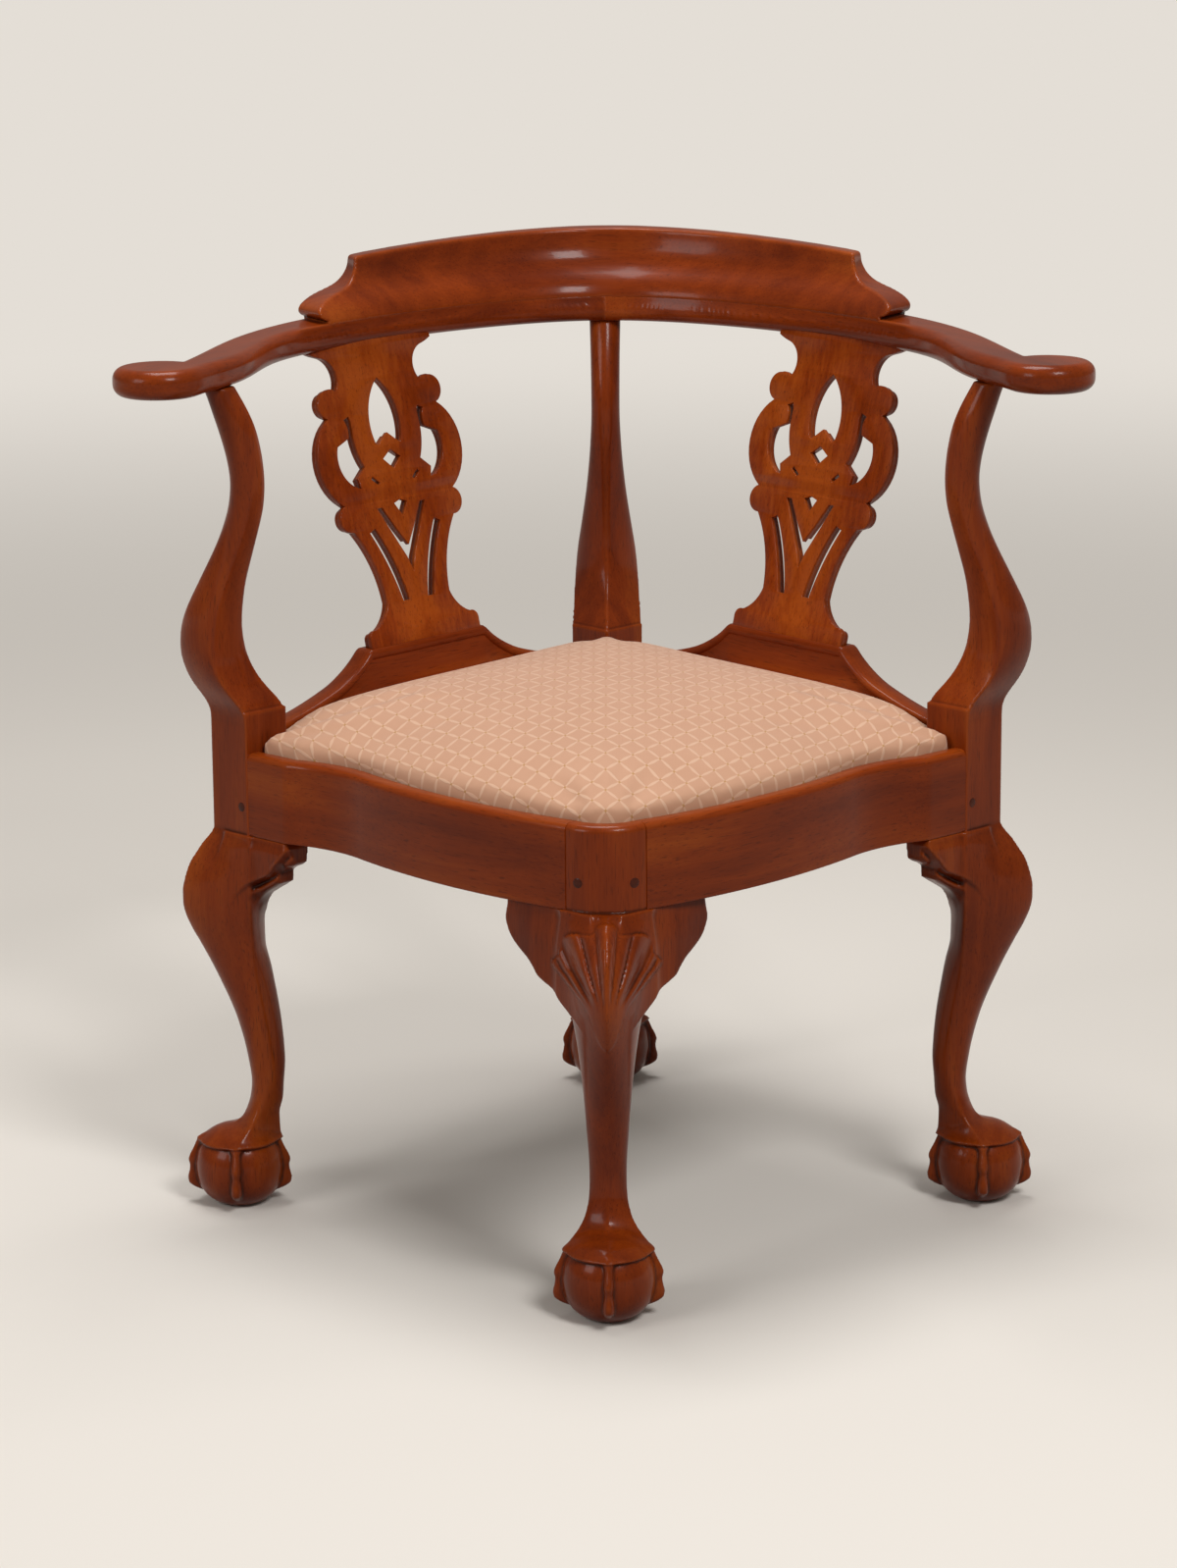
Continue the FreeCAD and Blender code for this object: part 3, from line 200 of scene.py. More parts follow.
def spline_points(knots: Sequence[Pair], count: int) -> Array:
    """Sample a natural cubic spline through plan points.

    Args:
        knots: The points that the line goes through.
        count: How many samples to take.

    Returns:
        Rows of X and Y, evenly spaced along the line.
    """
    points = np.array(knots, dtype=float)
    run = np.concatenate([[0.0], np.cumsum(np.hypot(*np.diff(points, axis=0).T))])
    size = len(run)
    widths = np.diff(run)
    system = np.eye(size)
    right = np.zeros((size, 2))
    for index in range(1, size - 1):
        system[index, index - 1:index + 2] = (widths[index - 1], 2 * (widths[index - 1] + widths[index]),
                                              widths[index])
        right[index] = 6 * ((points[index + 1] - points[index]) / widths[index]
                            - (points[index] - points[index - 1]) / widths[index - 1])
    bends = np.linalg.solve(system, right)
    dense = np.linspace(0.0, run[-1], count * 8)
    cell = np.clip(np.searchsorted(run, dense) - 1, 0, size - 2)
    left = (run[cell + 1] - dense)[:, None]
    past = (dense - run[cell])[:, None]
    width = widths[cell][:, None]
    line = (bends[cell] * left ** 3 + bends[cell + 1] * past ** 3) / (6 * width)
    line += (points[cell] / width - bends[cell] * width / 6) * left
    line += (points[cell + 1] / width - bends[cell + 1] * width / 6) * past
    travelled = np.concatenate([[0.0], np.cumsum(np.hypot(*np.diff(line, axis=0).T))])
    even = np.linspace(0.0, travelled[-1], count)
    return np.stack([np.interp(even, travelled, line[:, 0]), np.interp(even, travelled, line[:, 1])], axis=1)


def arc_points(run: Sequence[Pair], count: int = 12) -> list[Pair]:
    """Sample a line of two points or an arc through three.

    Args:
        run: Two or three points.
        count: Steps along an arc.

    Returns:
        The points along it, without the last one.
    """
    if len(run) == 2:
        return [run[0]]
    (ax, ay), (bx, by), (cx, cy) = run
    turn = 2 * (ax * (by - cy) + bx * (cy - ay) + cx * (ay - by))
    squares = (ax * ax + ay * ay, bx * bx + by * by, cx * cx + cy * cy)
    mx = (squares[0] * (by - cy) + squares[1] * (cy - ay) + squares[2] * (ay - by)) / turn
    my = (squares[0] * (cx - bx) + squares[1] * (ax - cx) + squares[2] * (bx - ax)) / turn
    radius = math.hypot(ax - mx, ay - my)
    first, middle, last = (math.atan2(y - my, x - mx) for x, y in run)
    full = 2 * math.pi
    sweep = (last - first) % full
    if (middle - first) % full > sweep:
        sweep -= full
    return [(mx + radius * math.cos(first + sweep * step / count),
             my + radius * math.sin(first + sweep * step / count)) for step in range(count)]


@dataclass(frozen=True)
class RailLine:
    """The line between two stile centres, read as along, outward and height."""

    start: Pair
    end: Pair
    turn: float
    face: Pair

    @property
    def length(self) -> float:
        """Return the distance between the stile centres."""
        return math.dist(self.start, self.end)

    @property
    def way(self) -> Array:
        """Return the unit vector along the line."""
        return (np.array(self.end) - np.array(self.start)) / self.length

    @property
    def out(self) -> Array:
        """Return the unit vector towards the outside of the chair."""
        return np.array([-self.way[1], self.way[0]]) * self.turn

    def at(self, along: Array, out: Array, height: Array) -> Array:
        """Place points.

        Args:
            along: Distances from the first stile's centre.
            out: Distances outward from the line.
            height: Heights above the floor.

        Returns:
            Rows of X, Y, Z.
        """
        along, out, height = np.broadcast_arrays(along, out, height)
        flat = np.array(self.start) + along[..., None] * self.way + out[..., None] * self.out
        return np.concatenate([flat, height[..., None]], axis=-1)

    def shoulder(self, out: Array, last: bool) -> Array:
        """Find where a stile's face crosses the line.

        Args:
            out: The outward distance at which to look.
            last: Whether it is the far stile.

        Returns:
            The distance along the line.
        """
        across = float(np.dot(self.face, self.out))
        onward = float(np.dot(self.face, self.way))
        if last:
            return self.length - (HALF + out * across) / onward
        return (HALF - out * across) / onward


DIAGONAL_UNIT = math.sqrt(0.5)
FRONT_LINE = RailLine((-SIDE_STILE_X, 0.0), (0.0, FRONT_STILE_Y), -1.0, (DIAGONAL_UNIT, -DIAGONAL_UNIT))
REAR_LINE = RailLine((-SIDE_STILE_X, 0.0), (0.0, REAR_STILE_Y), 1.0, (DIAGONAL_UNIT, DIAGONAL_UNIT))


def mesh_piece(name: str, points: Array, faces: Sequence[Sequence[int]],
               smooth: bool = True) -> bpy.types.Object:
    """Make an object from points in joiner's millimetres.

    Args:
        name: The piece's name.
        points: Rows of X, Y, Z.
        faces: Loops of point numbers, seen counter-clockwise from outside.
        smooth: Whether its faces shade smoothly.

    Returns:
        The new object, linked to the scene.
    """
    mesh = bpy.data.meshes.new(name)
    rows = faces.tolist() if isinstance(faces, np.ndarray) else faces
    mesh.from_pydata(metres(points).tolist(), [], rows)
    mesh.polygons.foreach_set("use_smooth", [smooth] * len(mesh.polygons))
    mesh.update()
    piece = bpy.data.objects.new(name, mesh)
    bpy.context.collection.objects.link(piece)
    return piece


def mirrored(points: Array) -> Array:
    """Return points on the other side of the chair."""
    return np.asarray(points) * (-1.0, 1.0, 1.0)


def flipped(faces: Sequence[Sequence[int]]) -> list[list[int]]:
    """Return faces turned to look the other way."""
    return [list(face)[::-1] for face in faces]


def sided_piece(name: str, side: Side, points: Array, faces: Sequence[Sequence[int]]) -> bpy.types.Object:
    """Make a left-hand piece or its mirror image.

    Args:
        name: The piece's name without its side.
        side: The side to make.
        points: The left-hand piece's points.
        faces: The left-hand piece's faces.

    Returns:
        The new object.
    """
    full_name = side.name.lower() + "_" + name
    if side is Side.RIGHT:
        return mesh_piece(full_name, mirrored(points), flipped(faces))
    return mesh_piece(full_name, points, faces)


def point_rows(items: bpy.types.bpy_prop_collection, what: str) -> Array:
    """Read three numbers for each point of a mesh.

    Args:
        items: The mesh's vertices.
        what: The property to read.

    Returns:
        One row for each point.
    """
    rows = np.empty(len(items) * 3)
    items.foreach_get(what, rows)
    return rows.reshape(-1, 3)


def sharpen(piece: bpy.types.Object, degrees: float = 35.0) -> None:
    """Keep edges over an angle crisp in a smoothly shaded piece.

    Args:
        piece: The piece to change.
        degrees: The angle between faces past which the edge shows.
    """
    mesh = piece.data
    mesh.set_sharp_from_angle(angle=math.radians(degrees))


def dress(piece: bpy.types.Object, material: bpy.types.Material, slot: str, body: str, *nodes: str) -> None:
    """Give a piece its finish, its body and the CAD nodes that it stands for.

    Args:
        piece: The finished piece.
        material: Its finish.
        slot: The record's material slot; not used.
        body: The body that it rides on.
        nodes: The CAD nodes that it replaces.
    """
    piece.data.materials.clear()
    piece.data.materials.append(material)
    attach(piece, body)
    if nodes:
        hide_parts(*nodes)
    LOG.info("%s: %d faces", piece.name, len(piece.data.polygons))


def add_node(tree: bpy.types.NodeTree, kind: str, values: dict | None = None, links: dict | None = None,
             **settings: object) -> bpy.types.Node:
    """Add a node with its settings, socket values and links.

    Args:
        tree: The tree to add to.
        kind: The node's type name.
        values: Socket values by name or number.
        links: Sources by the name or number of the input. A node gives its first output.
        settings: Properties of the node.

    Returns:
        The new node.
    """
    node = tree.nodes.new(kind)
    for key, value in settings.items():
        setattr(node, key, value)
    for key, value in (values or {}).items():
        node.inputs[key].default_value = value
    for key, source in (links or {}).items():
        tree.links.new(source.outputs[0] if isinstance(source, bpy.types.Node) else source, node.inputs[key])
    return node


def new_material(name: str) -> tuple[bpy.types.Material, bpy.types.NodeTree]:
    """Make an empty node material.

    Args:
        name: The material's name.

    Returns:
        The material and its node tree.
    """
    material = bpy.data.materials.new(name)
    material.use_nodes = True
    material.node_tree.nodes.clear()
    return material, material.node_tree


def ramp_colours(node: bpy.types.Node, stops: Sequence[tuple[float, str]]) -> None:
    """Set the stops of a colour ramp from hex colours.

    Args:
        node: The ramp node.
        stops: Pairs of place and hex colour.
    """
    ramp = node.color_ramp
    while len(ramp.elements) < len(stops):
        ramp.elements.new(1.0)
    for element, (place, code) in zip(ramp.elements, stops):
        element.position = place
        element.color = linear(code)


@dataclass(frozen=True)
class LacqueredCherry:
    """Cherry stained red-brown under hand-rubbed lacquer: soft gloss, dark pores, painted shade in the
    hollows, paler worn edges.
    """

    name: str
    grain: Grain
    heart: Pair = (0.0, 90.0)
    deep: str = "662306"
    middle: str = "823209"
    pale: str = "9c4712"
    # Colour of the pores, and of the painted shade laid into the hollows.
    hollow: str = "250800"
    ring_mm: float = 15.0
    streak_mm: float = 2.4
    pore_mm: float = 0.9
    rough: float = 0.3
    streaks: float = 0.22

    def make(self) -> bpy.types.Material:
        """Build the finish.

        Returns:
            The material.
        """
        material, tree = new_material(self.name)
        place = add_node(tree, "ShaderNodeTexCoord").outputs["Object"]
        turn = tuple(math.radians(value) for value in self.grain.value)
        turned = add_node(tree, "ShaderNodeMapping", {"Rotation": turn}, {"Vector": place})
        drift = add_node(tree, "ShaderNodeMapping", {"Scale": (2.2, 9.0, 9.0)}, {"Vector": turned})
        wander = add_node(tree, "ShaderNodeTexNoise", {"Scale": 1.0, "Detail": 3.0}, {"Vector": drift})
        centred = add_node(tree, "ShaderNodeVectorMath", {1: (0.5, 0.5, 0.5)}, {0: wander.outputs["Color"]},
                           operation="SUBTRACT")
        pushed = add_node(tree, "ShaderNodeVectorMath", {1: (0.0, 0.045, 0.045)}, {0: centred},
                          operation="MULTIPLY")
        bent = add_node(tree, "ShaderNodeVectorMath", None, {0: turned, 1: pushed}, operation="ADD")
        shift = (0.0, self.heart[0] * MM, self.heart[1] * MM)
        ring_place = add_node(tree, "ShaderNodeMapping", {"Location": shift, "Scale": (0.1, 1.0, 1.0)},
                              {"Vector": bent})
        ring_settings = {"Scale": BAND_SCALE * per_size(self.ring_mm), "Distortion": 1.2, "Detail": 2.0,
                         "Detail Scale": 1.5}
        rings = add_node(tree, "ShaderNodeTexWave", ring_settings, {"Vector": ring_place}, wave_type="RINGS",
                         rings_direction="X").outputs["Fac"]
        broad_place = add_node(tree, "ShaderNodeMapping", {"Scale": (3.0, 17.0, 17.0)}, {"Vector": bent})
        broad = add_node(tree, "ShaderNodeTexNoise", {"Scale": 1.0, "Detail": 3.0, "Roughness": 0.55},
                         {"Vector": broad_place}).outputs["Fac"]
        fine = per_size(self.streak_mm)
        streak_place = add_node(tree, "ShaderNodeMapping", {"Scale": (fine * 0.02, fine, fine)},
                                {"Vector": bent})
        streak = add_node(tree, "ShaderNodeTexNoise", {"Scale": 1.0, "Detail": 2.0},
                          {"Vector": streak_place}).outputs["Fac"]
        pore_scale = per_size(self.pore_mm)
        pore_place = add_node(tree, "ShaderNodeMapping",
                              {"Scale": (pore_scale * 0.06, pore_scale, pore_scale)},
                              {"Vector": turned})
        pore = add_node(tree, "ShaderNodeTexNoise", {"Scale": 1.0, "Detail": 1.0},
                        {"Vector": pore_place}).outputs["Fac"]
        ring_part = add_node(tree, "ShaderNodeMath", {1: 0.05}, {0: rings}, operation="MULTIPLY")
        mixed = add_node(tree, "ShaderNodeMath", None, {0: ring_part, 1: broad}, operation="ADD")
        streak_part = add_node(tree, "ShaderNodeMath", {1: self.streaks}, {0: streak}, operation="MULTIPLY")
        tone = add_node(tree, "ShaderNodeMath", None, {0: mixed, 1: streak_part}, operation="ADD")
        ramp = add_node(tree, "ShaderNodeValToRGB", None, {"Fac": tone})
        ramp_colours(ramp, ((0.44, self.deep), (0.67, self.middle), (0.92, self.pale)))
        pore_mask = add_node(tree, "ShaderNodeMapRange", {"From Min": 0.60, "From Max": 0.72, "To Max": 0.45},
                             {"Value": pore})
        pored = add_node(tree, "ShaderNodeMix", {7: linear(self.hollow)},
                         {0: pore_mask, 6: ramp.outputs["Color"]},
                         data_type="RGBA").outputs[2]
        # Painted shade: hollows of the carved skin are darkened towards the hollow colour; proud edges are
        # lightened towards the pale tone as wear.
        hollow_shade_and_edge_wear = add_node(tree, "ShaderNodeAttribute", attribute_name="hollow_shade_and_edge_wear").outputs["Fac"]
        hollow_mask = add_node(tree, "ShaderNodeMapRange",
                               {"From Min": 0.0, "From Max": -0.6, "To Max": 0.75},
                               {"Value": hollow_shade_and_edge_wear})
        hollowed = add_node(tree, "ShaderNodeMix", {7: linear(self.hollow)}, {0: hollow_mask, 6: pored},
                            data_type="RGBA").outputs[2]
        edge_mask = add_node(tree, "ShaderNodeMapRange", {"From Min": 0.1, "From Max": 0.8, "To Max": 0.30},
                             {"Value": hollow_shade_and_edge_wear})
        coloured = add_node(tree, "ShaderNodeMix", {7: linear(self.pale)}, {0: edge_mask, 6: hollowed},
                            data_type="RGBA").outputs[2]
        gloss = add_node(tree, "ShaderNodeMapRange",
                         {"To Min": self.rough - 0.05, "To Max": self.rough + 0.07},
                         {"Value": broad})
        bump = add_node(tree, "ShaderNodeBump", {"Strength": 0.06, "Distance": 0.0004}, {"Height": streak})
        shader = add_node(tree, "ShaderNodeBsdfPrincipled", {"IOR": 1.45, "Specular IOR Level": 0.1,
                                                             "Coat Weight": 0.25, "Coat Roughness": 0.12,
                                                             "Coat IOR": 1.4},
                          {"Base Color": coloured, "Roughness": gloss, "Normal": bump})
        add_node(tree, "ShaderNodeOutputMaterial", None, {"Surface": shader})
        return material


@dataclass(frozen=True)
class PlanedPine:
    """Planed, unfinished softwood out of sight: pale, dry, with faint streaks."""

    name: str = "planed_pine"
    pale: str = "c9a777"
    deep: str = "a37c4c"

    def make(self) -> bpy.types.Material:
        """Build the finish.

        Returns:
            The material.
        """
        material, tree = new_material(self.name)
        place = add_node(tree, "ShaderNodeTexCoord").outputs["Object"]
        mapped = add_node(tree, "ShaderNodeMapping", {"Scale": (8.0, 160.0, 160.0)}, {"Vector": place})
        streak = add_node(tree, "ShaderNodeTexNoise", {"Scale": 1.0, "Detail": 3.0},
                          {"Vector": mapped}).outputs["Fac"]
        ramp = add_node(tree, "ShaderNodeValToRGB", None, {"Fac": streak})
        ramp_colours(ramp, ((0.3, self.deep), (0.7, self.pale)))
        bump = add_node(tree, "ShaderNodeBump", {"Strength": 0.2, "Distance": 0.0004}, {"Height": streak})
        shader = add_node(tree, "ShaderNodeBsdfPrincipled", {"Roughness": 0.72},
                          {"Base Color": ramp.outputs["Color"], "Normal": bump})
        add_node(tree, "ShaderNodeOutputMaterial", None, {"Surface": shader})
        return material


@dataclass(frozen=True)
class DullSteel:
    """Drawn steel wire gone dull: grey, slightly blotched, soft highlight."""

    name: str = "dull_steel"
    pale: str = "a9a49b"
    deep: str = "6f6a63"

    def make(self) -> bpy.types.Material:
        """Build the finish.

        Returns:
            The material.
        """
        material, tree = new_material(self.name)
        place = add_node(tree, "ShaderNodeTexCoord").outputs["Object"]
        blotch = add_node(tree, "ShaderNodeTexNoise", {"Scale": per_size(3.0), "Detail": 2.0},
                          {"Vector": place}).outputs["Fac"]
        ramp = add_node(tree, "ShaderNodeValToRGB", None, {"Fac": blotch})
        ramp_colours(ramp, ((0.35, self.deep), (0.65, self.pale)))
        rough = add_node(tree, "ShaderNodeMapRange", {"To Min": 0.35, "To Max": 0.55}, {"Value": blotch})
        shader = add_node(tree, "ShaderNodeBsdfPrincipled", {"Metallic": 1.0},
                          {"Base Color": ramp.outputs["Color"], "Roughness": rough})
        add_node(tree, "ShaderNodeOutputMaterial", None, {"Surface": shader})
        return material


def woven(tree: bpy.types.NodeTree, place: bpy.types.NodeSocket, thread_mm: float) -> bpy.types.Node:
    """Cross two sets of bands as warp and weft.

    Args:
        tree: The tree to add to.
        place: Where on the cloth each point lies.
        thread_mm: The spacing of the threads.

    Returns:
        The node that gives the weave's height.
    """
    scale = BAND_SCALE * per_size(thread_mm)
    warp = add_node(tree, "ShaderNodeTexWave", {"Scale": scale}, {"Vector": place},
                    bands_direction="X").outputs["Fac"]
    weft = add_node(tree, "ShaderNodeTexWave", {"Scale": scale}, {"Vector": place},
                    bands_direction="Y").outputs["Fac"]
    return add_node(tree, "ShaderNodeMath", None, {0: warp, 1: weft}, operation="MULTIPLY")


@dataclass(frozen=True)
class PlainWeave:
    """Plain woven cloth: over-and-under threads, matt, a little uneven in colour."""

    name: str
    pale: str
    deep: str
    thread_mm: float = 1.6

    def make(self) -> bpy.types.Material:
        """Build the finish.

        Returns:
            The material.
        """
        material, tree = new_material(self.name)
        place = add_node(tree, "ShaderNodeTexCoord").outputs["Object"]
        weave = woven(tree, place, self.thread_mm)
        patch = add_node(tree, "ShaderNodeTexNoise", {"Scale": per_size(30.0), "Detail": 2.0},
                         {"Vector": place}).outputs["Fac"]
        tone = add_node(tree, "ShaderNodeMath", None, {0: weave, 1: patch}, operation="ADD")
        ramp = add_node(tree, "ShaderNodeValToRGB", None, {"Fac": tone})
        ramp_colours(ramp, ((0.3, self.deep), (1.0, self.pale)))
        bump = add_node(tree, "ShaderNodeBump", {"Strength": 0.5, "Distance": 0.0004}, {"Height": weave})
        shader = add_node(tree, "ShaderNodeBsdfPrincipled", {"Roughness": 0.9},
                          {"Base Color": ramp.outputs["Color"], "Normal": bump})
        add_node(tree, "ShaderNodeOutputMaterial", None, {"Surface": shader})
        return material


@dataclass(frozen=True)
class LatticeDamask:
    """Peach woven seat cloth: a pale lattice of small bows, ochre dots where they cross."""

    name: str = "lattice_damask"
    ground: str = "c8997b"
    shade: str = "be8e70"
    ribbon: str = "d2a98c"
    dot: str = "b48450"
    cell_wide: float = 21.0
    cell_deep: float = 30.0
    thread_mm: float = 1.1

    def make(self) -> bpy.types.Material:
        """Build the finish.

        Returns:
            The material.
        """
        material, tree = new_material(self.name)
        place = add_node(tree, "ShaderNodeAttribute", attribute_name="lay").outputs["Vector"]
        split = add_node(tree, "ShaderNodeSeparateXYZ", None, {0: place})
        across = add_node(tree, "ShaderNodeMath", {1: per_size(self.cell_wide)}, {0: split.outputs["X"]},
                          operation="MULTIPLY")
        deep = add_node(tree, "ShaderNodeMath", {1: per_size(self.cell_deep)}, {0: split.outputs["Y"]},
                        operation="MULTIPLY")
        rising = add_node(tree, "ShaderNodeMath", None, {0: across, 1: deep}, operation="ADD")
        falling = add_node(tree, "ShaderNodeMath", None, {0: across, 1: deep}, operation="SUBTRACT")
        masks = []
        near = []
        for line, other in ((rising, falling), (falling, rising)):
            saw = add_node(tree, "ShaderNodeMath", {1: 0.5}, {0: line}, operation="PINGPONG")
            ripple = add_node(tree, "ShaderNodeMath", {1: 2 * math.pi}, {0: other}, operation="MULTIPLY")
            wave = add_node(tree, "ShaderNodeMath", None, {0: ripple}, operation="COSINE")
            width = add_node(tree, "ShaderNodeMapRange", {"From Min": -1.0, "To Min": 0.07, "To Max": 0.02},
                             {"Value": wave})
            inner = add_node(tree, "ShaderNodeMath", {1: 0.03}, {0: width}, operation="ADD")
            mask = add_node(tree, "ShaderNodeMapRange", {"To Min": 1.0, "To Max": 0.0},
                            {"Value": saw, "From Min": width, "From Max": inner})
            masks.append(mask)
            near.append(saw)
        ribbon = add_node(tree, "ShaderNodeMath", None, {0: masks[0], 1: masks[1]}, operation="MAXIMUM")
        apart = add_node(tree, "ShaderNodeMath", None, {0: near[0], 1: near[1]}, operation="MAXIMUM")
        dots = add_node(tree, "ShaderNodeMapRange",
                        {"From Min": 0.045, "From Max": 0.075, "To Min": 1.0, "To Max": 0.0},
                        {"Value": apart})
        cloud = add_node(tree, "ShaderNodeTexNoise", {"Scale": per_size(70.0), "Detail": 3.0},
                         {"Vector": place}).outputs["Fac"]
        ground = add_node(tree, "ShaderNodeMix", {6: linear(self.shade), 7: linear(self.ground)}, {0: cloud},
                          data_type="RGBA").outputs[2]
        figured = add_node(tree, "ShaderNodeMix", {7: linear(self.ribbon)}, {0: ribbon, 6: ground},
                           data_type="RGBA").outputs[2]
        dotted = add_node(tree, "ShaderNodeMix", {7: linear(self.dot)}, {0: dots, 6: figured},
                          data_type="RGBA").outputs[2]
        weave = woven(tree, place, self.thread_mm)
        weave_part = add_node(tree, "ShaderNodeMath", {1: 0.35}, {0: weave}, operation="MULTIPLY")
        height = add_node(tree, "ShaderNodeMath", None, {0: weave_part, 1: ribbon}, operation="ADD")
        bump = add_node(tree, "ShaderNodeBump", {"Strength": 0.35, "Distance": 0.0005}, {"Height": height})
        shader = add_node(tree, "ShaderNodeBsdfPrincipled", {"Roughness": 0.78, "Sheen Weight": 0.25,
                                                             "Sheen Roughness": 0.4},
                          {"Base Color": dotted, "Normal": bump})
        add_node(tree, "ShaderNodeOutputMaterial", None, {"Surface": shader})
        return material


def blend_union(first: Array, second: Array, width: float) -> Array:
    """Join two distance fields with a fillet.

    Args:
        first: A field, negative inside.
        second: Another field.
        width: How wide the fillet is.

    Returns:
        The joined field.
    """
    share = np.clip(0.5 + 0.5 * (second - first) / width, 0.0, 1.0)
    return second + (first - second) * share - width * share * (1 - share)


def blend_cut(first: Array, second: Array, width: float) -> Array:
    """Return what lies inside both fields, with the edge between them rounded."""
    return -blend_union(-first, -second, width)


def rounded_edge(side: Array, level: Array, radius: float) -> Array:
    """Round the edge between two faces.

    Args:
        side: Distances past the upright plane through the round's centre.
        level: Distances past the level plane through it.
        radius: The round's radius.

    Returns:
        The distance field.
    """
    inner = np.minimum(np.maximum(side, level), 0.0)
    return inner + np.hypot(np.maximum(side, 0), np.maximum(level, 0)) - radius


@dataclass
class Block:
    """A block of space filled with points at an even pitch, in which a form is carved."""

    low: Vector
    high: Vector
    pitch: float

    def axis(self, index: int) -> Array:
        """Return the places along one axis."""
        count = int(math.ceil((self.high[index] - self.low[index]) / self.pitch)) + 1
        return (self.low[index] + self.pitch * np.arange(count)).astype(np.float32)

    def axes(self) -> tuple[Array, Array, Array]:
        """Return X, Y and Z as arrays that spread over the block."""
        return self.axis(0)[:, None, None], self.axis(1)[None, :, None], self.axis(2)[None, None, :]

    def surface(self, values: Array) -> tuple[Array, Array]:
        """Find the skin of a carved form.

        Args:
            values: The distance field over the block, negative inside.

        Returns:
            The skin's points and its four-sided faces.
        """
        grid = openvdb.FloatGrid(1000.0)
        grid.copyFromArray(np.ascontiguousarray(values, dtype=np.float32))
        points, _, quads = grid.convertToPolygons(0.0, 0.0)
        return smoothed(points * self.pitch + np.array(self.low), quads), quads


def neighbour_mean(values: Array, first: Array, second: Array) -> Array:
    """Average each point's neighbours.

    Args:
        values: One number, or one row of numbers, for each point.
        first: The point at one end of each edge.
        second: The point at the other end.

    Returns:
        The neighbours' mean for each point.
    """
    count = len(values)
    links = np.maximum(np.bincount(first, minlength=count) + np.bincount(second, minlength=count), 1)
    columns = values.reshape(count, -1).T
    means = [(np.bincount(first, column[second], count) + np.bincount(second, column[first], count)) / links
             for column in columns]
    return np.stack(means, axis=1).reshape(values.shape)


def smoothed(points: Array, quads: Array, rounds: int = 3) -> Array:
    """Take the steps out of a carved skin without shrinking it.

    Args:
        points: The skin's points.
        quads: Its four-sided faces.
        rounds: How often to smooth and swell again.

    Returns:
        The moved points.
    """
    pairs = np.sort(np.concatenate([quads[:, [0, 1]], quads[:, [1, 2]], quads[:, [2, 3]], quads[:, [3, 0]]]),
                    axis=1)
    first, second = np.unique(pairs.astype(np.int64), axis=0).T
    for _ in range(rounds):
        for share in (0.5, -0.52):
            points = points + share * (neighbour_mean(points, first, second) - points)
    return points


def evened(field: Array, pitch: float) -> Array:
    """Turn a field into true distances near its surface.

    Args:
        field: Any smooth field that is nought on the surface.
        pitch: The spacing of its points.

    Returns:
        The field divided by its slope.
    """
    slope = np.sqrt(sum(part ** 2 for part in np.gradient(field, pitch)))
    return field / np.maximum(slope, 0.2)


def gentle_value(stations: Sequence[Pair], at: Array, reach: float) -> Array:
    """Read a curve through stations with its bends eased.

    Args:
        stations: Pairs of place and value.
        at: The places to read.
        reach: How far to each side the bends are eased.

    Returns:
        The values there.
    """
    weights = (1.0, 4.0, 6.0, 4.0, 1.0)
    parts = [weight / 16.0 * curve_value(stations, at + reach * (step - 2) / 2)
             for step, weight in enumerate(weights)]
    return sum(parts)


def add_hollow_shade_and_edge_wear(piece: bpy.types.Object, reach: float) -> None:
    """Store how hollow or proud each point of a skin is, for the finish to paint shade into the hollows and
    wear onto the proud edges.

    Args:
        piece: The carved piece.
        reach: The depth in millimetres over one cell that counts as fully hollow.
    """
    mesh = piece.data
    places = point_rows(mesh.vertices, "co")
    normals = point_rows(mesh.vertices, "normal")
    edges = np.empty(len(mesh.edges) * 2, dtype=np.int64)
    mesh.edges.foreach_get("vertices", edges)
    first, second = edges.reshape(-1, 2).T
    # Hollow points come out negative and are read by the finish as painted shade.
    depth = ((places - neighbour_mean(places, first, second)) * normals).sum(1) / (reach * MM)
    for _ in range(2):
        depth = 0.5 * depth + 0.5 * neighbour_mean(depth, first, second)
    attribute = mesh.attributes.new("hollow_shade_and_edge_wear", "FLOAT", "POINT")
    attribute.data.foreach_set("value", np.clip(depth, -1.0, 1.0).astype(np.float32))


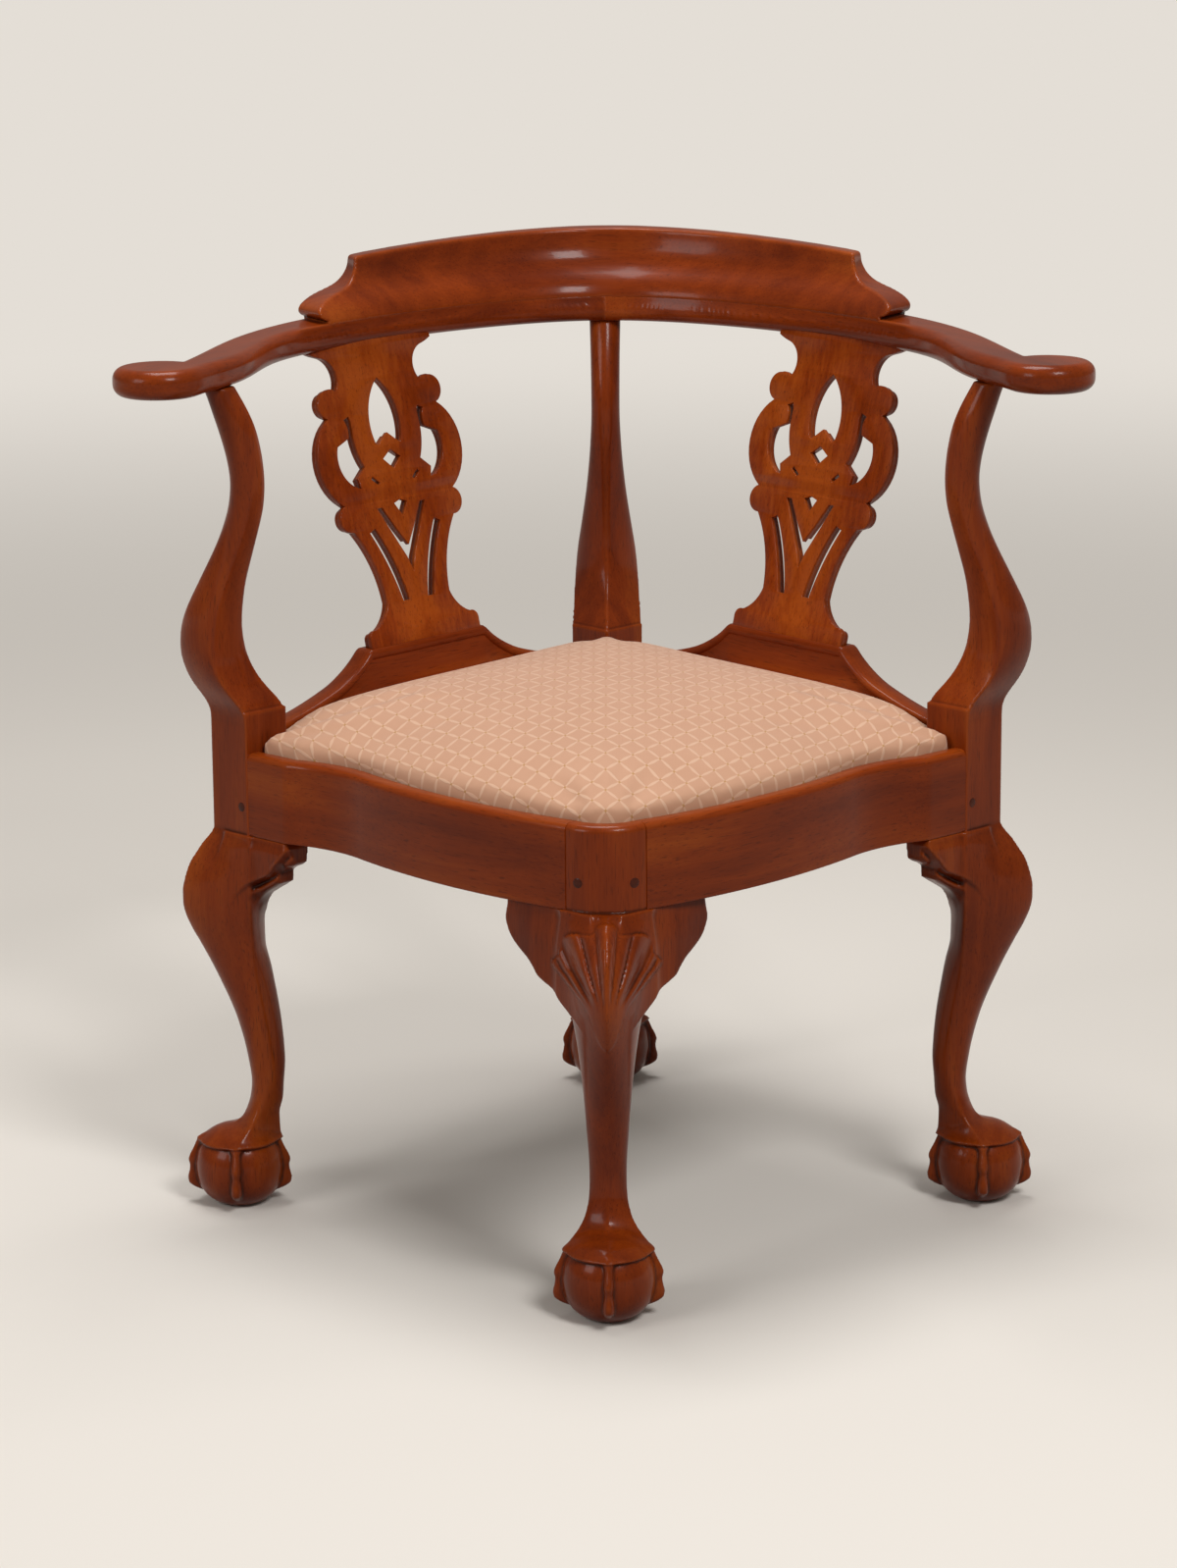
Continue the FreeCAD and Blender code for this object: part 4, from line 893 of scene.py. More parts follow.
@dataclass
class CarvedLeg:
    """A cabriole leg with its stile, knee blocks, ball-and-claw foot and, above, its arm post."""

    corner: Corner
    finish: bpy.types.Material
    pitch: float = LEG_PITCH
    outward: tuple[Pair, ...] = (
        (321, 31), (318, 32), (308, 40), (299, 46), (290, 51.5), (275, 56.3), (267, 57.8), (258, 57.8),
        (250, 56.5), (236, 51), (222, 43.5), (199, 32), (157, 15), (125, 7.5), (104, 5), (92, 6.2), (84, 8.5),
        (77, 11.5), (70, 16.5), (64, 27), (60.5, 37.5), (57, 46), (54, 51))
    front_shoulder: tuple[Pair, ...] = ((321, 15), (318, 22), (314, 30), (308, 38.5), (300, 46), (290, 60))
    inward: tuple[Pair, ...] = (
        (321, 30.8), (300, 26), (285, 20), (250, 10), (240, 9), (224, 9.2), (203, 13.5), (180, 17.5),
        (159, 20.5), (136, 22.5), (123, 23), (103, 21.5), (90, 20.5), (76, 17.5), (61, 18), (55, 19))
    halves: tuple[Pair, ...] = (
        (321, 30.8), (299, 32), (280, 33), (262, 32), (248, 29.7), (233, 26.3), (204, 21.8), (178, 19),
        (145, 16.5), (112, 14.5), (100, 14.4), (89, 15.1), (77, 18), (70, 21.6), (64.7, 25.6), (58.6, 31),
        (54, 35))
    middles: tuple[Pair, ...] = ((200, 0), (160, -3), (110, -8), (80, 0), (66, 8.5), (58, 15), (54, 17))
    powers: tuple[Pair, ...] = (
        (321, 1), (300, 1.08), (280, 1.2), (260, 1.3), (230, 1.5), (200, 1.7), (150, 1.85), (115, 2),
        (90, 1.6), (75, 1.3), (66, 1.22), (58, 1.28), (54, 1.45))
    post_out: tuple[Pair, ...] = (
        (414, 0), (421, 1), (428, 5.5), (442, 16.5), (456, 23.5), (471, 27.2), (485, 27.6), (498, 25.8),
        (512, 22), (530, 15.8), (550, 8), (572, 0.3), (592, -4.8), (610, -6.3), (625, -5.2), (640, -2.6),
        (652, 0.3), (662, 3.6), (672, 7.4), (680, 10.8), (687, 14), (700, 20))
    post_half: tuple[Pair, ...] = (
        (414, 30.8), (421, 30.5), (442, 28.5), (471, 26.2), (498, 23.5), (530, 18.5), (572, 14.6),
        (610, 13.7), (635, 14.4), (652, 14.9), (668, 14.3), (680, 12.9), (700, 12))
    rear_half: tuple[Pair, ...] = (
        (414, 30.8), (425, 30.2), (440, 29.2), (460, 27.8), (484, 25.5), (500, 23), (520, 20), (543, 16.9),
        (580, 13.6), (611, 12.3), (650, 12.6), (700, 13.6))
    shell_sides: tuple[Pair, ...] = (
        (302, 64.5), (293, 58.8), (285, 52.9), (276.5, 47), (270.5, 43), (264.8, 39), (262.4, 36.6),
        (257.7, 32.8), (250.6, 26.9), (243.6, 21), (237.7, 16.8), (231.8, 14.2), (225.8, 12.2), (219.9, 10.3),
        (214, 8.3), (208.1, 5.3), (205.8, 3.5), (203.4, 0.3))
    shell_top: tuple[Pair, ...] = (
        (0, 301.5), (3, 301.1), (6, 299.6), (8, 297.3), (9.3, 294.6), (10.3, 293.2), (12, 292.6), (15, 292.3),
        (18, 292.7), (22, 293.3), (26, 293.2), (29, 292.4), (31.5, 290.8), (33.5, 288.4), (34.8, 285),
        (35.6, 281), (36.2, 277.6), (37.2, 276), (39, 274.6), (41, 272.8), (43, 270.4), (44, 267))
    shell_lobes: tuple[Pair, ...] = (
        (0, 1.5), (0.05, 1.3), (0.1, 0.4), (0.135, -1.3), (0.165, -0.9), (0.21, -0.2), (0.27, 0.1),
        (0.31, -0.2), (0.335, -0.9), (0.36, -0.1), (0.4, 0.9), (0.455, 1.5), (0.52, 0.8), (0.58, -0.8),
        (0.63, -1.7), (0.68, -1.2), (0.73, 0.2), (0.78, 1.1), (0.82, 0.4), (0.85, -0.5), (0.88, 0.3),
        (0.93, 1.1), (0.98, 0.6), (1, 0.3))
    front_ends: tuple[Pair, ...] = (
        (321, 84), (315, 84.5), (302, 87.5), (294, 85), (286.5, 79.5), (280, 71), (274.5, 62.5), (268, 56),
        (263.5, 52.5), (258.5, 43.5), (253.5, 31), (249, 22), (243, 8), (234, -16), (222, -50), (205, -100))
    side_ends: tuple[Pair, ...] = (
        (321, 62), (313.5, 63.9), (303, 63.5), (299, 59.5), (296, 53), (292, 47.6), (284, 47), (280.5, 42.5),
        (273, 30), (267, 20), (258, 8), (250, -6), (238, -28), (222, -80))
    side_ridge: tuple[Pair, ...] = (
        (66, 318), (62, 313), (52.4, 302.3), (43, 292.5), (30, 286), (19.4, 280.2), (11, 272.3), (4, 262),
        (-4, 248))
    side_low: tuple[Pair, ...] = (
        (64, 303), (59.5, 299), (53, 296), (48, 291), (47, 284), (42.5, 280.5), (30, 273), (20, 267),
        (8, 258), (-6, 250))
    block_round: float = 3.0
    knee_fillet: float = 9.0
    ankle_fillet: float = 5.0
    foot_out: float = 17.0
    ball_wide: float = 36.0
    ball_tall: float = 33.5
    ball_height: float = 31.5
    ball_power: float = 2.3
    web_thick: float = 2.2
    web_low: float = 52.6
    toe_deep: float = 6.0
    toe_reach: tuple[Pair, ...] = (
        (70, -2.4), (64, 10), (60.5, 19.8), (58.8, 27), (57, 31), (52, 35.4), (46, 38.2), (40, 41.2),
        (36, 42.4), (31, 41.4), (26, 42), (20.5, 43.2), (16.5, 42.6), (14, 40.2), (11.5, 36), (9.5, 31),
        (8, 22), (6.5, 8))
    toe_half: tuple[Pair, ...] = (
        (62, 4.4), (55, 4.2), (48, 3.3), (41, 3.7), (36, 3.9), (30, 3.3), (24, 4.1), (17, 4.3), (13, 3.6),
        (10, 2.6), (6, 1.6))

    def place(self, points: Array) -> Array:
        """Turn points from the leg's own frame to its corner of the chair.

        Args:
            points: Rows of X, Y, Z with the stile's centre at the origin and the outside at +X.

        Returns:
            The same points in the joiner's frame.
        """
        (x, y), degrees = self.corner.value
        angle = math.radians(degrees)
        turned = np.array(points, dtype=float)
        turned[:, 0] = points[:, 0] * math.cos(angle) - points[:, 1] * math.sin(angle) + x
        turned[:, 1] = points[:, 0] * math.sin(angle) + points[:, 1] * math.cos(angle) + y
        return turned

    def rails(self) -> list[tuple[str, Array, Array]]:
        """List the knee blocks with their rail's way and outside, in the leg's own frame.

        Returns:
            The block's side, the unit vector along the rail and the unit vector outward.
        """
        degrees = self.corner.value[1]
        back = math.radians(-degrees)
        flip = np.array([-1.0, 1.0])
        if self.corner is Corner.LEFT:
            world = [("front", FRONT_LINE.way, FRONT_LINE.out), ("rear", REAR_LINE.way, REAR_LINE.out)]
        else:
            line = FRONT_LINE if self.corner is Corner.FRONT else REAR_LINE
            world = [("left", -line.way, line.out), ("right", -line.way * flip, line.out * flip)]
        turn = np.array([[math.cos(back), -math.sin(back)], [math.sin(back), math.cos(back)]])
        return [(side, turn @ way, turn @ out) for side, way, out in world]

    def shank(self, x: Array, y: Array, z: Array) -> Array:
        """Return the field of the leg between its ankle and its rail.

        Args:
            x, y, z: Places outward, across and up.

        Returns:
            The distance field.
        """
        middle = curve_value(self.middles, z)
        out = curve_value(self.outward, z) - middle
        if self.corner is Corner.FRONT:
            out = np.minimum(out, curve_value(self.front_shoulder, z))
        back = curve_value(self.inward, z) + middle
        half = curve_value(self.halves, z)
        power = curve_value(self.powers, z)
        reach = np.where(x > middle, out, back)
        norm = (np.abs(x - middle) / reach) ** power + (np.abs(y) / half) ** power
        return (norm ** (1 / power) - 1) * np.minimum(np.minimum(out, back), half) * 0.8

    def foot(self, x: Array, y: Array, z: Array) -> Array:
        """Return the field of the ball, the web over it and the four toes.

        Args:
            x, y, z: Places outward, across and up.

        Returns:
            The distance field.
        """
        dx = x - self.foot_out
        flat = np.hypot(dx, y)
        rise = np.abs(z - self.ball_height)

        def swollen(spare: float) -> Array:
            """Return the field of the squat ball, grown by a spare thickness."""
            wide, tall, power = self.ball_wide + spare, self.ball_tall + spare, self.ball_power
            return (((flat / wide) ** power + (rise / tall) ** power) ** (1 / power) - 1) * tall

        web = blend_cut(swollen(self.web_thick), self.web_low - z, 1.5)
        along = np.maximum(np.abs(dx), np.abs(y))
        across = np.minimum(np.abs(dx), np.abs(y))
        past = np.maximum(along - curve_value(self.toe_reach, z) + self.toe_deep, 0.0) / self.toe_deep
        half = curve_value(self.toe_half, z)
        toes = (np.hypot(past, across / half) - 1) * np.minimum(half, self.toe_deep)
        return np.minimum(blend_union(swollen(0.0), toes, 1.6), blend_union(web, toes, 3.0))

    def knee_block(self, way: Array, out: Array, x: Array, y: Array, z: Array) -> Array:
        """Return the field of one block beside the knee.

        Args:
            way: The rail's way from the stile, in the leg's frame.
            out: The rail's outward side.
            x: Places across the block of space.
            y: Places along it.
            z: Heights.

        Returns:
            The distance field.
        """
        along = x * way[0] + y * way[1]
        outward = x * out[0] + y * out[1]
        if self.corner is Corner.FRONT:
            ends = self.front_ends
            face = RAIL_OUT - 0.5 + 2.0 * eased((320.0 - z) / 30.0)
            face = face - 3.0 * eased((along - 50.0) / 40.0) * eased((318.0 - z) / 24.0)
        else:
            ends = self.side_ends
            ridge = curve_value(self.side_ridge, along)
            low = curve_value(self.side_low, along)
            face = RAIL_OUT + 2.5 * eased((320.0 - z) / 12.0) - 12.0 * eased((ridge - z) / 5.5)
            face = face + 5.0 * np.exp(-((z - low - 4.0) / 3.6) ** 2) * eased((ridge - low - 4.0) / 6.0)
        end = curve_value(ends, z)
        slope = np.gradient(end.ravel(), self.pitch).reshape(end.shape)
        outline = (along - end) / np.sqrt(1 + slope ** 2)
        body = blend_cut(outline, outward - face, self.block_round)
        return np.maximum(np.maximum(body, -2.0 - outward), -4.0 - along)

    def shell_relief(self, x: Array, y: Array, z: Array) -> Array:
        """Return how far the shell carved on the front knee stands proud.

        It is drawn on a plane that leans back, and fans out from a root low on the knee.

        Args:
            x, y, z: Places outward, across and up.

        Returns:
            Heights of the relief in millimetres.
        """
        wide = np.abs(y)
        rise = z * math.cos(SHELL_TILT) - x * math.sin(SHELL_TILT)
        half = curve_value(self.shell_sides, rise)
        top = curve_value(self.shell_top, wide)
        lobes = curve_value(self.shell_lobes, wide / np.maximum(half, 0.5))
        fade = eased((rise - 234.0) / 26.0)
        inside = eased(np.minimum(top - rise, half - wide) / 1.3)
        raised = 0.7 + 0.8 * eased((rise - 250.0) / 40.0)
        return inside * eased((x + 36.0) / 8.0) * (raised + lobes * fade)

    def top(self, x: Array, y: Array, z: Array) -> Array:
        """Return the field of the stile between the rails.

        Args:
            x, y, z: Places outward, across and up.

        Returns:
            The distance field.
        """
        spare = 2.2 if self.corner is Corner.FRONT else 0.0
        stile = (np.abs(x) + np.abs(y) - DIAGONAL - spare) * DIAGONAL_UNIT
        stile = np.maximum(stile, RAIL_BOTTOM - 1.0 - z)
        if self.corner is not Corner.FRONT:
            return np.maximum(stile, z - BLOCK_TOP)
        from_centre = np.hypot(x - NOSE_CENTRE, y)
        side = from_centre - NOSE_RADIUS + LIP_ROUND
        over = z - RAIL_TOP + LIP_ROUND
        lip = rounded_edge(side, over, LIP_ROUND)
        ledge = np.maximum(LEDGE - z, from_centre - NOSE_RADIUS + LIP_WIDE)
        return np.maximum(np.maximum(stile, lip), -ledge)

    def post(self, x: Array, y: Array, z: Array) -> Array:
        """Return the field of the post from the stile up to the arm.

        Args:
            x, y, z: Places outward, across and up.

        Returns:
            The distance field.
        """
        rise = eased((z - BLOCK_TOP) / (ARM_UNDERSIDE - BLOCK_TOP))
        if self.corner is Corner.REAR:
            cx = gentle_value(self.post_out, z, 9.0) + 9.0 * rise
            cy = 0.0 * rise
            half = gentle_value(self.rear_half, z, 9.0)
        else:
            cx = gentle_value(self.post_out, z, 9.0)
            cy = 34.0 * rise
            half = gentle_value(self.post_half, z, 9.0)
        power = 1.0 + 0.45 * eased((z - 415.0) / 80.0) + 0.4 * eased((z - 490.0) / 120.0)
        norm = (np.abs(x - cx) / half) ** power + (np.abs(y - cy) / half) ** power
        body = (norm ** (1 / power) - 1) * half * 0.75
        return np.maximum(np.maximum(body, z - ARM_UNDERSIDE + HAIRLINE), 412.0 - z)

    def carve(self) -> tuple[Array, Array]:
        """Carve the leg with its two knee blocks.

        Returns:
            The skin's points in the leg's own frame, and its faces.
        """
        tall = RAIL_TOP + 4.0 if self.corner is Corner.FRONT else ARM_UNDERSIDE + 4.0
        space = Block(Vector((-72.0, -96.0, -4.0)), Vector((72.0, 96.0, tall)), self.pitch)
        x, y, z = space.axes()
        places = [x.ravel(), y.ravel(), z.ravel()]
        whole = np.full((x.size, y.size, z.size), 30.0, dtype=np.float32)

        def carve_between(low: float, high: float, wide: float, form: Callable[[Array, Array, Array], Array],
                          fillet: float) -> None:
            """Join a form to the leg.

            Args:
                low: The height at which it starts.
                high: The height at which it ends.
                wide: How far it reaches to each side.
                form: What gives its field.
                fillet: How wide the fillet to the rest of the leg is.
            """
            z_cut = slice(*np.searchsorted(places[2], (low, high)))
            y_cut = slice(*np.searchsorted(places[1], (-wide, wide)))
            part = form(x, y[:, y_cut], z[:, :, z_cut])
            before = whole[:, y_cut, z_cut]
            whole[:, y_cut, z_cut] = blend_union(before, part, fillet) if fillet else np.minimum(before, part)

        carve_between(-4.0, 90.0, 50.0, self.foot, 0.0)
        carve_between(54.0, 205.0, 50.0, self.knee, self.ankle_fillet)
        carve_between(205.0, RAIL_BOTTOM + 2.5, 96.0, self.knee, 0.0)
        carve_between(RAIL_BOTTOM - 4.0, BLOCK_TOP + 4.0, 50.0, self.top, 0.0)
        if self.corner is not Corner.FRONT:
            carve_between(408.0, ARM_UNDERSIDE + 4.0, 60.0, self.post, 0.0)
        return space.surface(np.maximum(whole, -z))

    def knee(self, x: Array, y: Array, z: Array) -> Array:
        """Return the field of the shank with both knee blocks worked into it.

        Args:
            x, y, z: Places outward, across and up.

        Returns:
            The distance field.
        """
        body = self.shank(x, y, z)
        for _, way, out in self.rails():
            body = blend_union(body, self.knee_block(way, out, x, y, z), self.knee_fillet)
        if self.corner is Corner.FRONT:
            body = evened(body, self.pitch) - self.shell_relief(x, y, z)
        return np.maximum(body, z - RAIL_BOTTOM)

    def build(self) -> None:
        """Make the leg, and the right leg as the left one's mirror image."""
        skin, quads = self.carve()
        points = self.place(skin)
        sides = Side if self.corner is Corner.LEFT else (None,)
        for side in sides:
            right = side is Side.RIGHT
            name = (side.name if side else self.corner.name).lower() + "_leg"
            piece = mesh_piece(name + "_carved", mirrored(points) if right else points,
                               quads[:, ::-1] if right else quads)
            add_hollow_shade_and_edge_wear(piece, HOLLOW_SHADE_AND_WEAR_REACH)
            blocks = [name + "_" + side + "_knee_block" for side, _, _ in self.rails()]
            dress(piece, self.finish, "lacquered_cherry", "frame", name, *blocks)


@dataclass
class SeatRail:
    """A seat rail with a rounded lip outside, a ledge for the seat inside and square shoulders."""

    name: str
    line: RailLine
    path: Callable[[Array], Array]
    inner: float
    ledge_out: float | None
    stations: int = 90

    def section(self, outer: Array) -> list[tuple[Array, Array]]:
        """List the rail's section from the outer foot round to the inner foot.

        Args:
            outer: How far out the face lies, for each station.

        Returns:
            Pairs of outward place and height.
        """
        steps = 7
        ring = [(outer - 0.9, RAIL_BOTTOM + HAIRLINE), (outer - 0.2, RAIL_BOTTOM + 0.5),
                (outer, RAIL_BOTTOM + 1.2), (outer, RAIL_BOTTOM + 3.0), (outer, RAIL_TOP - LIP_ROUND - 3.0)]
        ledge = outer - LIP_WIDE if self.ledge_out is None else outer * 0 + self.ledge_out
        for step in range(steps + 1):
            angle = math.pi / 2 * step / steps
            ring.append((outer - LIP_ROUND * (1 - math.cos(angle)),
                         RAIL_TOP - LIP_ROUND * (1 - math.sin(angle))))
        ring += [(ledge + 0.8, RAIL_TOP), (ledge + 0.2, RAIL_TOP - 0.2), (ledge, RAIL_TOP - 0.8),
                 (ledge, LEDGE + 0.3), (ledge - 0.3, LEDGE), (self.inner + outer * 0, LEDGE),
                 (self.inner + outer * 0, RAIL_BOTTOM + HAIRLINE)]
        return ring

    def build(self, side: Side, finish: bpy.types.Material, node: str) -> None:
        """Make the rail on one side.

        Args:
            side: Which side.
            finish: The rail's finish.
            node: The CAD node that it stands for.
        """
        share = np.linspace(0.0, 1.0, self.stations)
        columns = []
        outer = np.full(self.stations, RAIL_OUT)
        for _ in range(5):
            first, last = self.line.shoulder(outer, False), self.line.shoulder(outer, True)
            outer = self.path(first + (last - first) * share)
        for out, height in self.section(outer):
            first, last = self.line.shoulder(out, False), self.line.shoulder(out, True)
            along = first - SEAM_BITE + (last - first + 2 * SEAM_BITE) * share
            columns.append(self.line.at(along, out, height))
        grid = np.stack(columns, axis=1)
        points, faces = loft_faces(grid)
        piece = sided_piece(self.name, side, points, faces)
        sharpen(piece)
        dress(piece, finish, "lacquered_cherry", "frame", node)


def loft_faces(rings: Array) -> tuple[Array, list[list[int]]]:
    """Join rings of points into a closed skin.

    Args:
        rings: An array of rings, each a closed row of points.

    Returns:
        The points as rows, and the faces.
    """
    count, size = rings.shape[:2]
    faces = []
    for ring in range(count - 1):
        for step in range(size):
            after = (step + 1) % size
            faces.append([ring * size + step, (ring + 1) * size + step, (ring + 1) * size + after,
                          ring * size + after])
    faces.append(list(range(size)))
    faces.append(list(range((count - 1) * size, count * size))[::-1])
    return rings.reshape(-1, 3), faces


def front_path(along: Array) -> Array:
    """Return how far out the serpentine front rail's face lies.

    Args:
        along: Distances from the side stile's centre.

    Returns:
        Distances outward from the line between the stiles.
    """
    last = FRONT_LINE.shoulder(RAIL_OUT, True)
    runs = (((64.0, 22.0), (103.0, 13.5), (146.0, 17.5)), ((146.0, 17.5), (265.0, 30.5), (last, 22.0)))
    points = [(0.0, 22.0), (60.0, 22.0)]
    for run in runs:
        points += arc_points(run, 24)
    points.append((last, 22.0))
    line = np.array(points)
    return np.interp(along, line[:, 0], line[:, 1])


@dataclass
class SplatShoe:
    """The moulded shoe between a rear rail and its splat: cove, bead and swept ends."""

    line: RailLine = REAR_LINE
    first_top: float = 139.0
    last_top: float = 273.0
    end_up: float = 11.0
    stations: int = 140
    moulding: float = 9.0
    sweep: tuple[Pair, ...] = (
        (0, 0), (0.12, 0.03), (0.3, 0.125), (0.44, 0.22), (0.58, 0.335), (0.7, 0.45), (0.82, 0.62),
        (0.92, 0.81), (0.975, 0.945), (1, 1))
    profile: tuple[Pair, ...] = (
        (-8.7, 0), (-8.7, 17.5), (-8.4, 19), (-7.6, 20.5), (-5.6, 25), (-3.9, 31), (-2.7, 38), (-2.2, 44),
        (-2.3, 48.4), (-3.1, 49.2), (-4.1, 50.6), (-4.4, 52.6), (-4.1, 54.6), (-3.2, 56.3), (-1.8, 57),
        (12.5, 57), (14.5, 56.2), (16.2, 54), (17, 50.5), (17, 0))

    def crest(self, along: Array) -> Array:
        """Return the height of the shoe's top along the rail.

        Args:
            along: Distances from the side stile's centre.

        Returns:
            Heights above the floor.
        """
        start = float(self.line.shoulder(REAR_LEDGE_OUT, False))
        end = float(self.line.shoulder(REAR_LEDGE_OUT, True))
        low = RAIL_TOP + self.end_up
        rise = SHOE_TOP - low

        def ogee(share: Array) -> Array:
            """Return the swept end's height over its length."""
            return low + rise * curve_value(self.sweep, share)

        rising = ogee((along - start) / (self.first_top - start))
        falling = ogee((end - along) / (end - self.last_top))
        return np.minimum(rising, falling)

    def build(self, side: Side, finish: bpy.types.Material) -> None:
        """Make the shoe on one side.

        Args:
            side: Which side.
            finish: The shoe's finish.
        """
        full = SHOE_TOP - RAIL_TOP
        floor = RAIL_TOP + HAIRLINE
        share = np.linspace(0.0, 1.0, self.stations)
        rings = []
        for out, height in self.profile:
            first, last = self.line.shoulder(out, False), self.line.shoulder(out, True)
            along = first + HAIRLINE + (last - first - 2 * HAIRLINE) * share
            top = self.crest(along)
            down = full - height
            if down <= self.moulding:
                level = top - down
            else:
                level = floor + (top - self.moulding - floor) * height / (full - self.moulding)
            rings.append(self.line.at(along, out, level))
        grid = np.stack(rings, axis=1)
        points, faces = loft_faces(grid)
        piece = sided_piece("splat_shoe_moulded", side, points, faces)
        sharpen(piece, 40.0)
        dress(piece, finish, "lacquered_cherry", "frame", side.name.lower() + "_splat_shoe")


@dataclass
class PiercedSplat:
    """A flat sawn splat with shaped sides, a pierced leaf above and crossing straps below."""

    along: float = 206.0
    foot_out: float = 4.0
    head_out: float = 66.0
    thick: float = 10.0
    front_thick: float = 4.4
    relieved: float = 1.8
    ease: float = 0.4

    def half_outline(self) -> list[Sequence[Pair]]:
        """List the runs of the right-hand edge from foot to head.

        Returns:
            Lines of two points and arcs through three.
        """
        return [
            ((64.5, -4.0), (64.5, 6.0)),
            ((64.5, 6.0), (62.0, 12.0), (56.0, 13.5)),
            ((56.0, 13.5), (45.5, 20.0), (36.5, 34.0)),
            ((36.5, 34.0), (40.5, 60.0), (59.0, 96.5)),
            ((59.0, 96.5), (71.5, 107.0), (64.0, 119.0)),
            ((64.0, 119.0), (84.0, 157.0), (64.0, 192.5)),
            ((64.0, 192.5), (72.0, 206.5), (60.0, 216.5)),
            ((60.0, 216.5), (54.0, 216.8), (49.5, 214.0)),
            ((49.5, 214.0), (45.5, 230.0), (58.0, 243.0)),
            ((58.0, 243.0), (66.0, 245.5), (71.0, 247.8)),
            ((71.0, 247.8), (71.0, 253.0)),
        ]

    def piercings(self) -> list[list[Pair]]:
        """List the outlines of the piercings.

        Returns:
            The points of each closed outline.
        """
        leaf = [((0, 220.5), (15.5, 197), (15, 166)), ((15, 166), (12.4, 164.4)), ((12.4, 164.4), (0, 174)),
                ((0, 174), (-12.4, 164.4)), ((-12.4, 164.4), (-15, 166)),
                ((-15, 166), (-15.5, 197), (0, 220.5))]
        holes = [self.closed(leaf)]
        holes.append([(0, 143.4), (10.2, 152.6), (0, 159.6), (-10.2, 152.6)])
        holes.append([(0, 103), (7.5, 114.5), (0, 117), (-7.5, 114.5)])
        holes.append([(0, 56), (4.5, 69), (13, 84.5), (28, 112.5), (22, 112.5), (9.5, 92), (0, 78.5),
                      (-9.5, 92), (-22, 112.5), (-28, 112.5), (-13, 84.5), (-4.5, 69)])
        loop = [((39.6, 174), (39.2, 188)), ((39.2, 188), (40.6, 192.2)), ((40.6, 192.2), (46.8, 189.8)),
                ((46.8, 189.8), (43.8, 181), (45, 174)), ((45, 174), (59, 168.5)),
                ((59, 168.5), (60.6, 150), (41, 131.2)), ((41, 131.2), (43.2, 139.8)),
                ((43.2, 139.8), (32.8, 148.3)), ((32.8, 148.3), (37.6, 160.5), (39.6, 174))]
        slot = [((18.3, 33), (27, 62), (41.5, 93.5)), ((41.5, 93.5), (35, 96.5)),
                ((35, 96.5), (19.5, 65), (10.8, 33)), ((10.8, 33), (18.3, 33))]
        slit = [(19.2, 133.6), (21, 131.4), (28.2, 137.2), (26.6, 139.6)]
        for sign in (1.0, -1.0):
            for outline in (self.closed(loop), self.closed(slot), slit):
                holes.append([(sign * x, y) for x, y in outline])
        return holes

    @staticmethod
    def closed(runs: Sequence[Sequence[Pair]]) -> list[Pair]:
        """Sample a closed outline.

        Args:
            runs: Its lines of two points and arcs through three.

        Returns:
            Its points.
        """
        points = []
        for run in runs:
            points += arc_points(run, 14)
        return points

    def outline(self) -> list[Pair]:
        """Return the points of the splat's outer edge."""
        right = self.closed(self.half_outline()) + [self.half_outline()[-1][-1]]
        return right + [(-x, y) for x, y in reversed(right)]

    def layer(self, thick: float, relieved: float) -> bpy.types.Mesh:
        """Return one flat layer of the splat.

        Args:
            thick: How thick it is.
            relieved: How far its edges are cut back.

        Returns:
            The layer's mesh, centred on its own plane.
        """
        curve = bpy.data.curves.new("splat_outline", "CURVE")
        curve.dimensions = "2D"
        curve.fill_mode = "BOTH"
        curve.extrude = (thick / 2 - self.ease) * MM
        curve.bevel_depth = self.ease * MM
        curve.bevel_resolution = 1
        curve.offset = -(self.ease + relieved) * MM
        for loop in [self.outline()] + self.piercings():
            spline = curve.splines.new("POLY")
            spline.points.add(len(loop) - 1)
            for point, (x, y) in zip(spline.points, loop):
                point.co = (x * MM, y * MM, 0.0, 1.0)
            spline.use_cyclic_u = True
        flat = bpy.data.objects.new("splat_flat", curve)
        bpy.context.collection.objects.link(flat)
        bpy.context.view_layer.update()
        mesh = bpy.data.meshes.new_from_object(flat.evaluated_get(bpy.context.evaluated_depsgraph_get()))
        bpy.data.objects.remove(flat)
        return mesh

    def build(self, side: Side, finish: bpy.types.Material) -> None:
        """Make the splat on one side.

        Args:
            side: Which side.
            finish: The splat's finish.
        """
        front = self.layer(self.front_thick, 0.0)
        back = self.layer(self.thick - self.front_thick + 0.2, self.relieved)
        front.transform(Matrix.Translation((0.0, 0.0, (self.thick - self.front_thick) / 2 * MM)))
        back.transform(Matrix.Translation((0.0, 0.0, (-self.front_thick / 2 + 0.1) * MM)))
        joined = bmesh.new()
        joined.from_mesh(front)
        joined.from_mesh(back)
        mesh = bpy.data.meshes.new("splat")
        joined.to_mesh(mesh)
        joined.free()
        foot = REAR_LINE.at(np.array(self.along), np.array(self.foot_out), np.array(SHOE_TOP))
        head = REAR_LINE.at(np.array(self.along), np.array(self.head_out), np.array(ARM_UNDERSIDE))
        rise = (Vector(head.tolist()) - Vector(foot.tolist())).normalized()
        across = Vector((*REAR_LINE.way, 0.0))
        normal = across.cross(rise)
        axes = Matrix((across, rise, normal)).transposed().to_4x4()
        origin = Vector(metres(foot[None])[0])
        mesh.transform(Matrix.Translation(origin) @ axes)
        if side is Side.RIGHT:
            mesh.transform(Matrix.Diagonal((-1.0, 1.0, 1.0, 1.0)))
            mesh.flip_normals()
        piece = bpy.data.objects.new(side.name.lower() + "_splat_pierced", mesh)
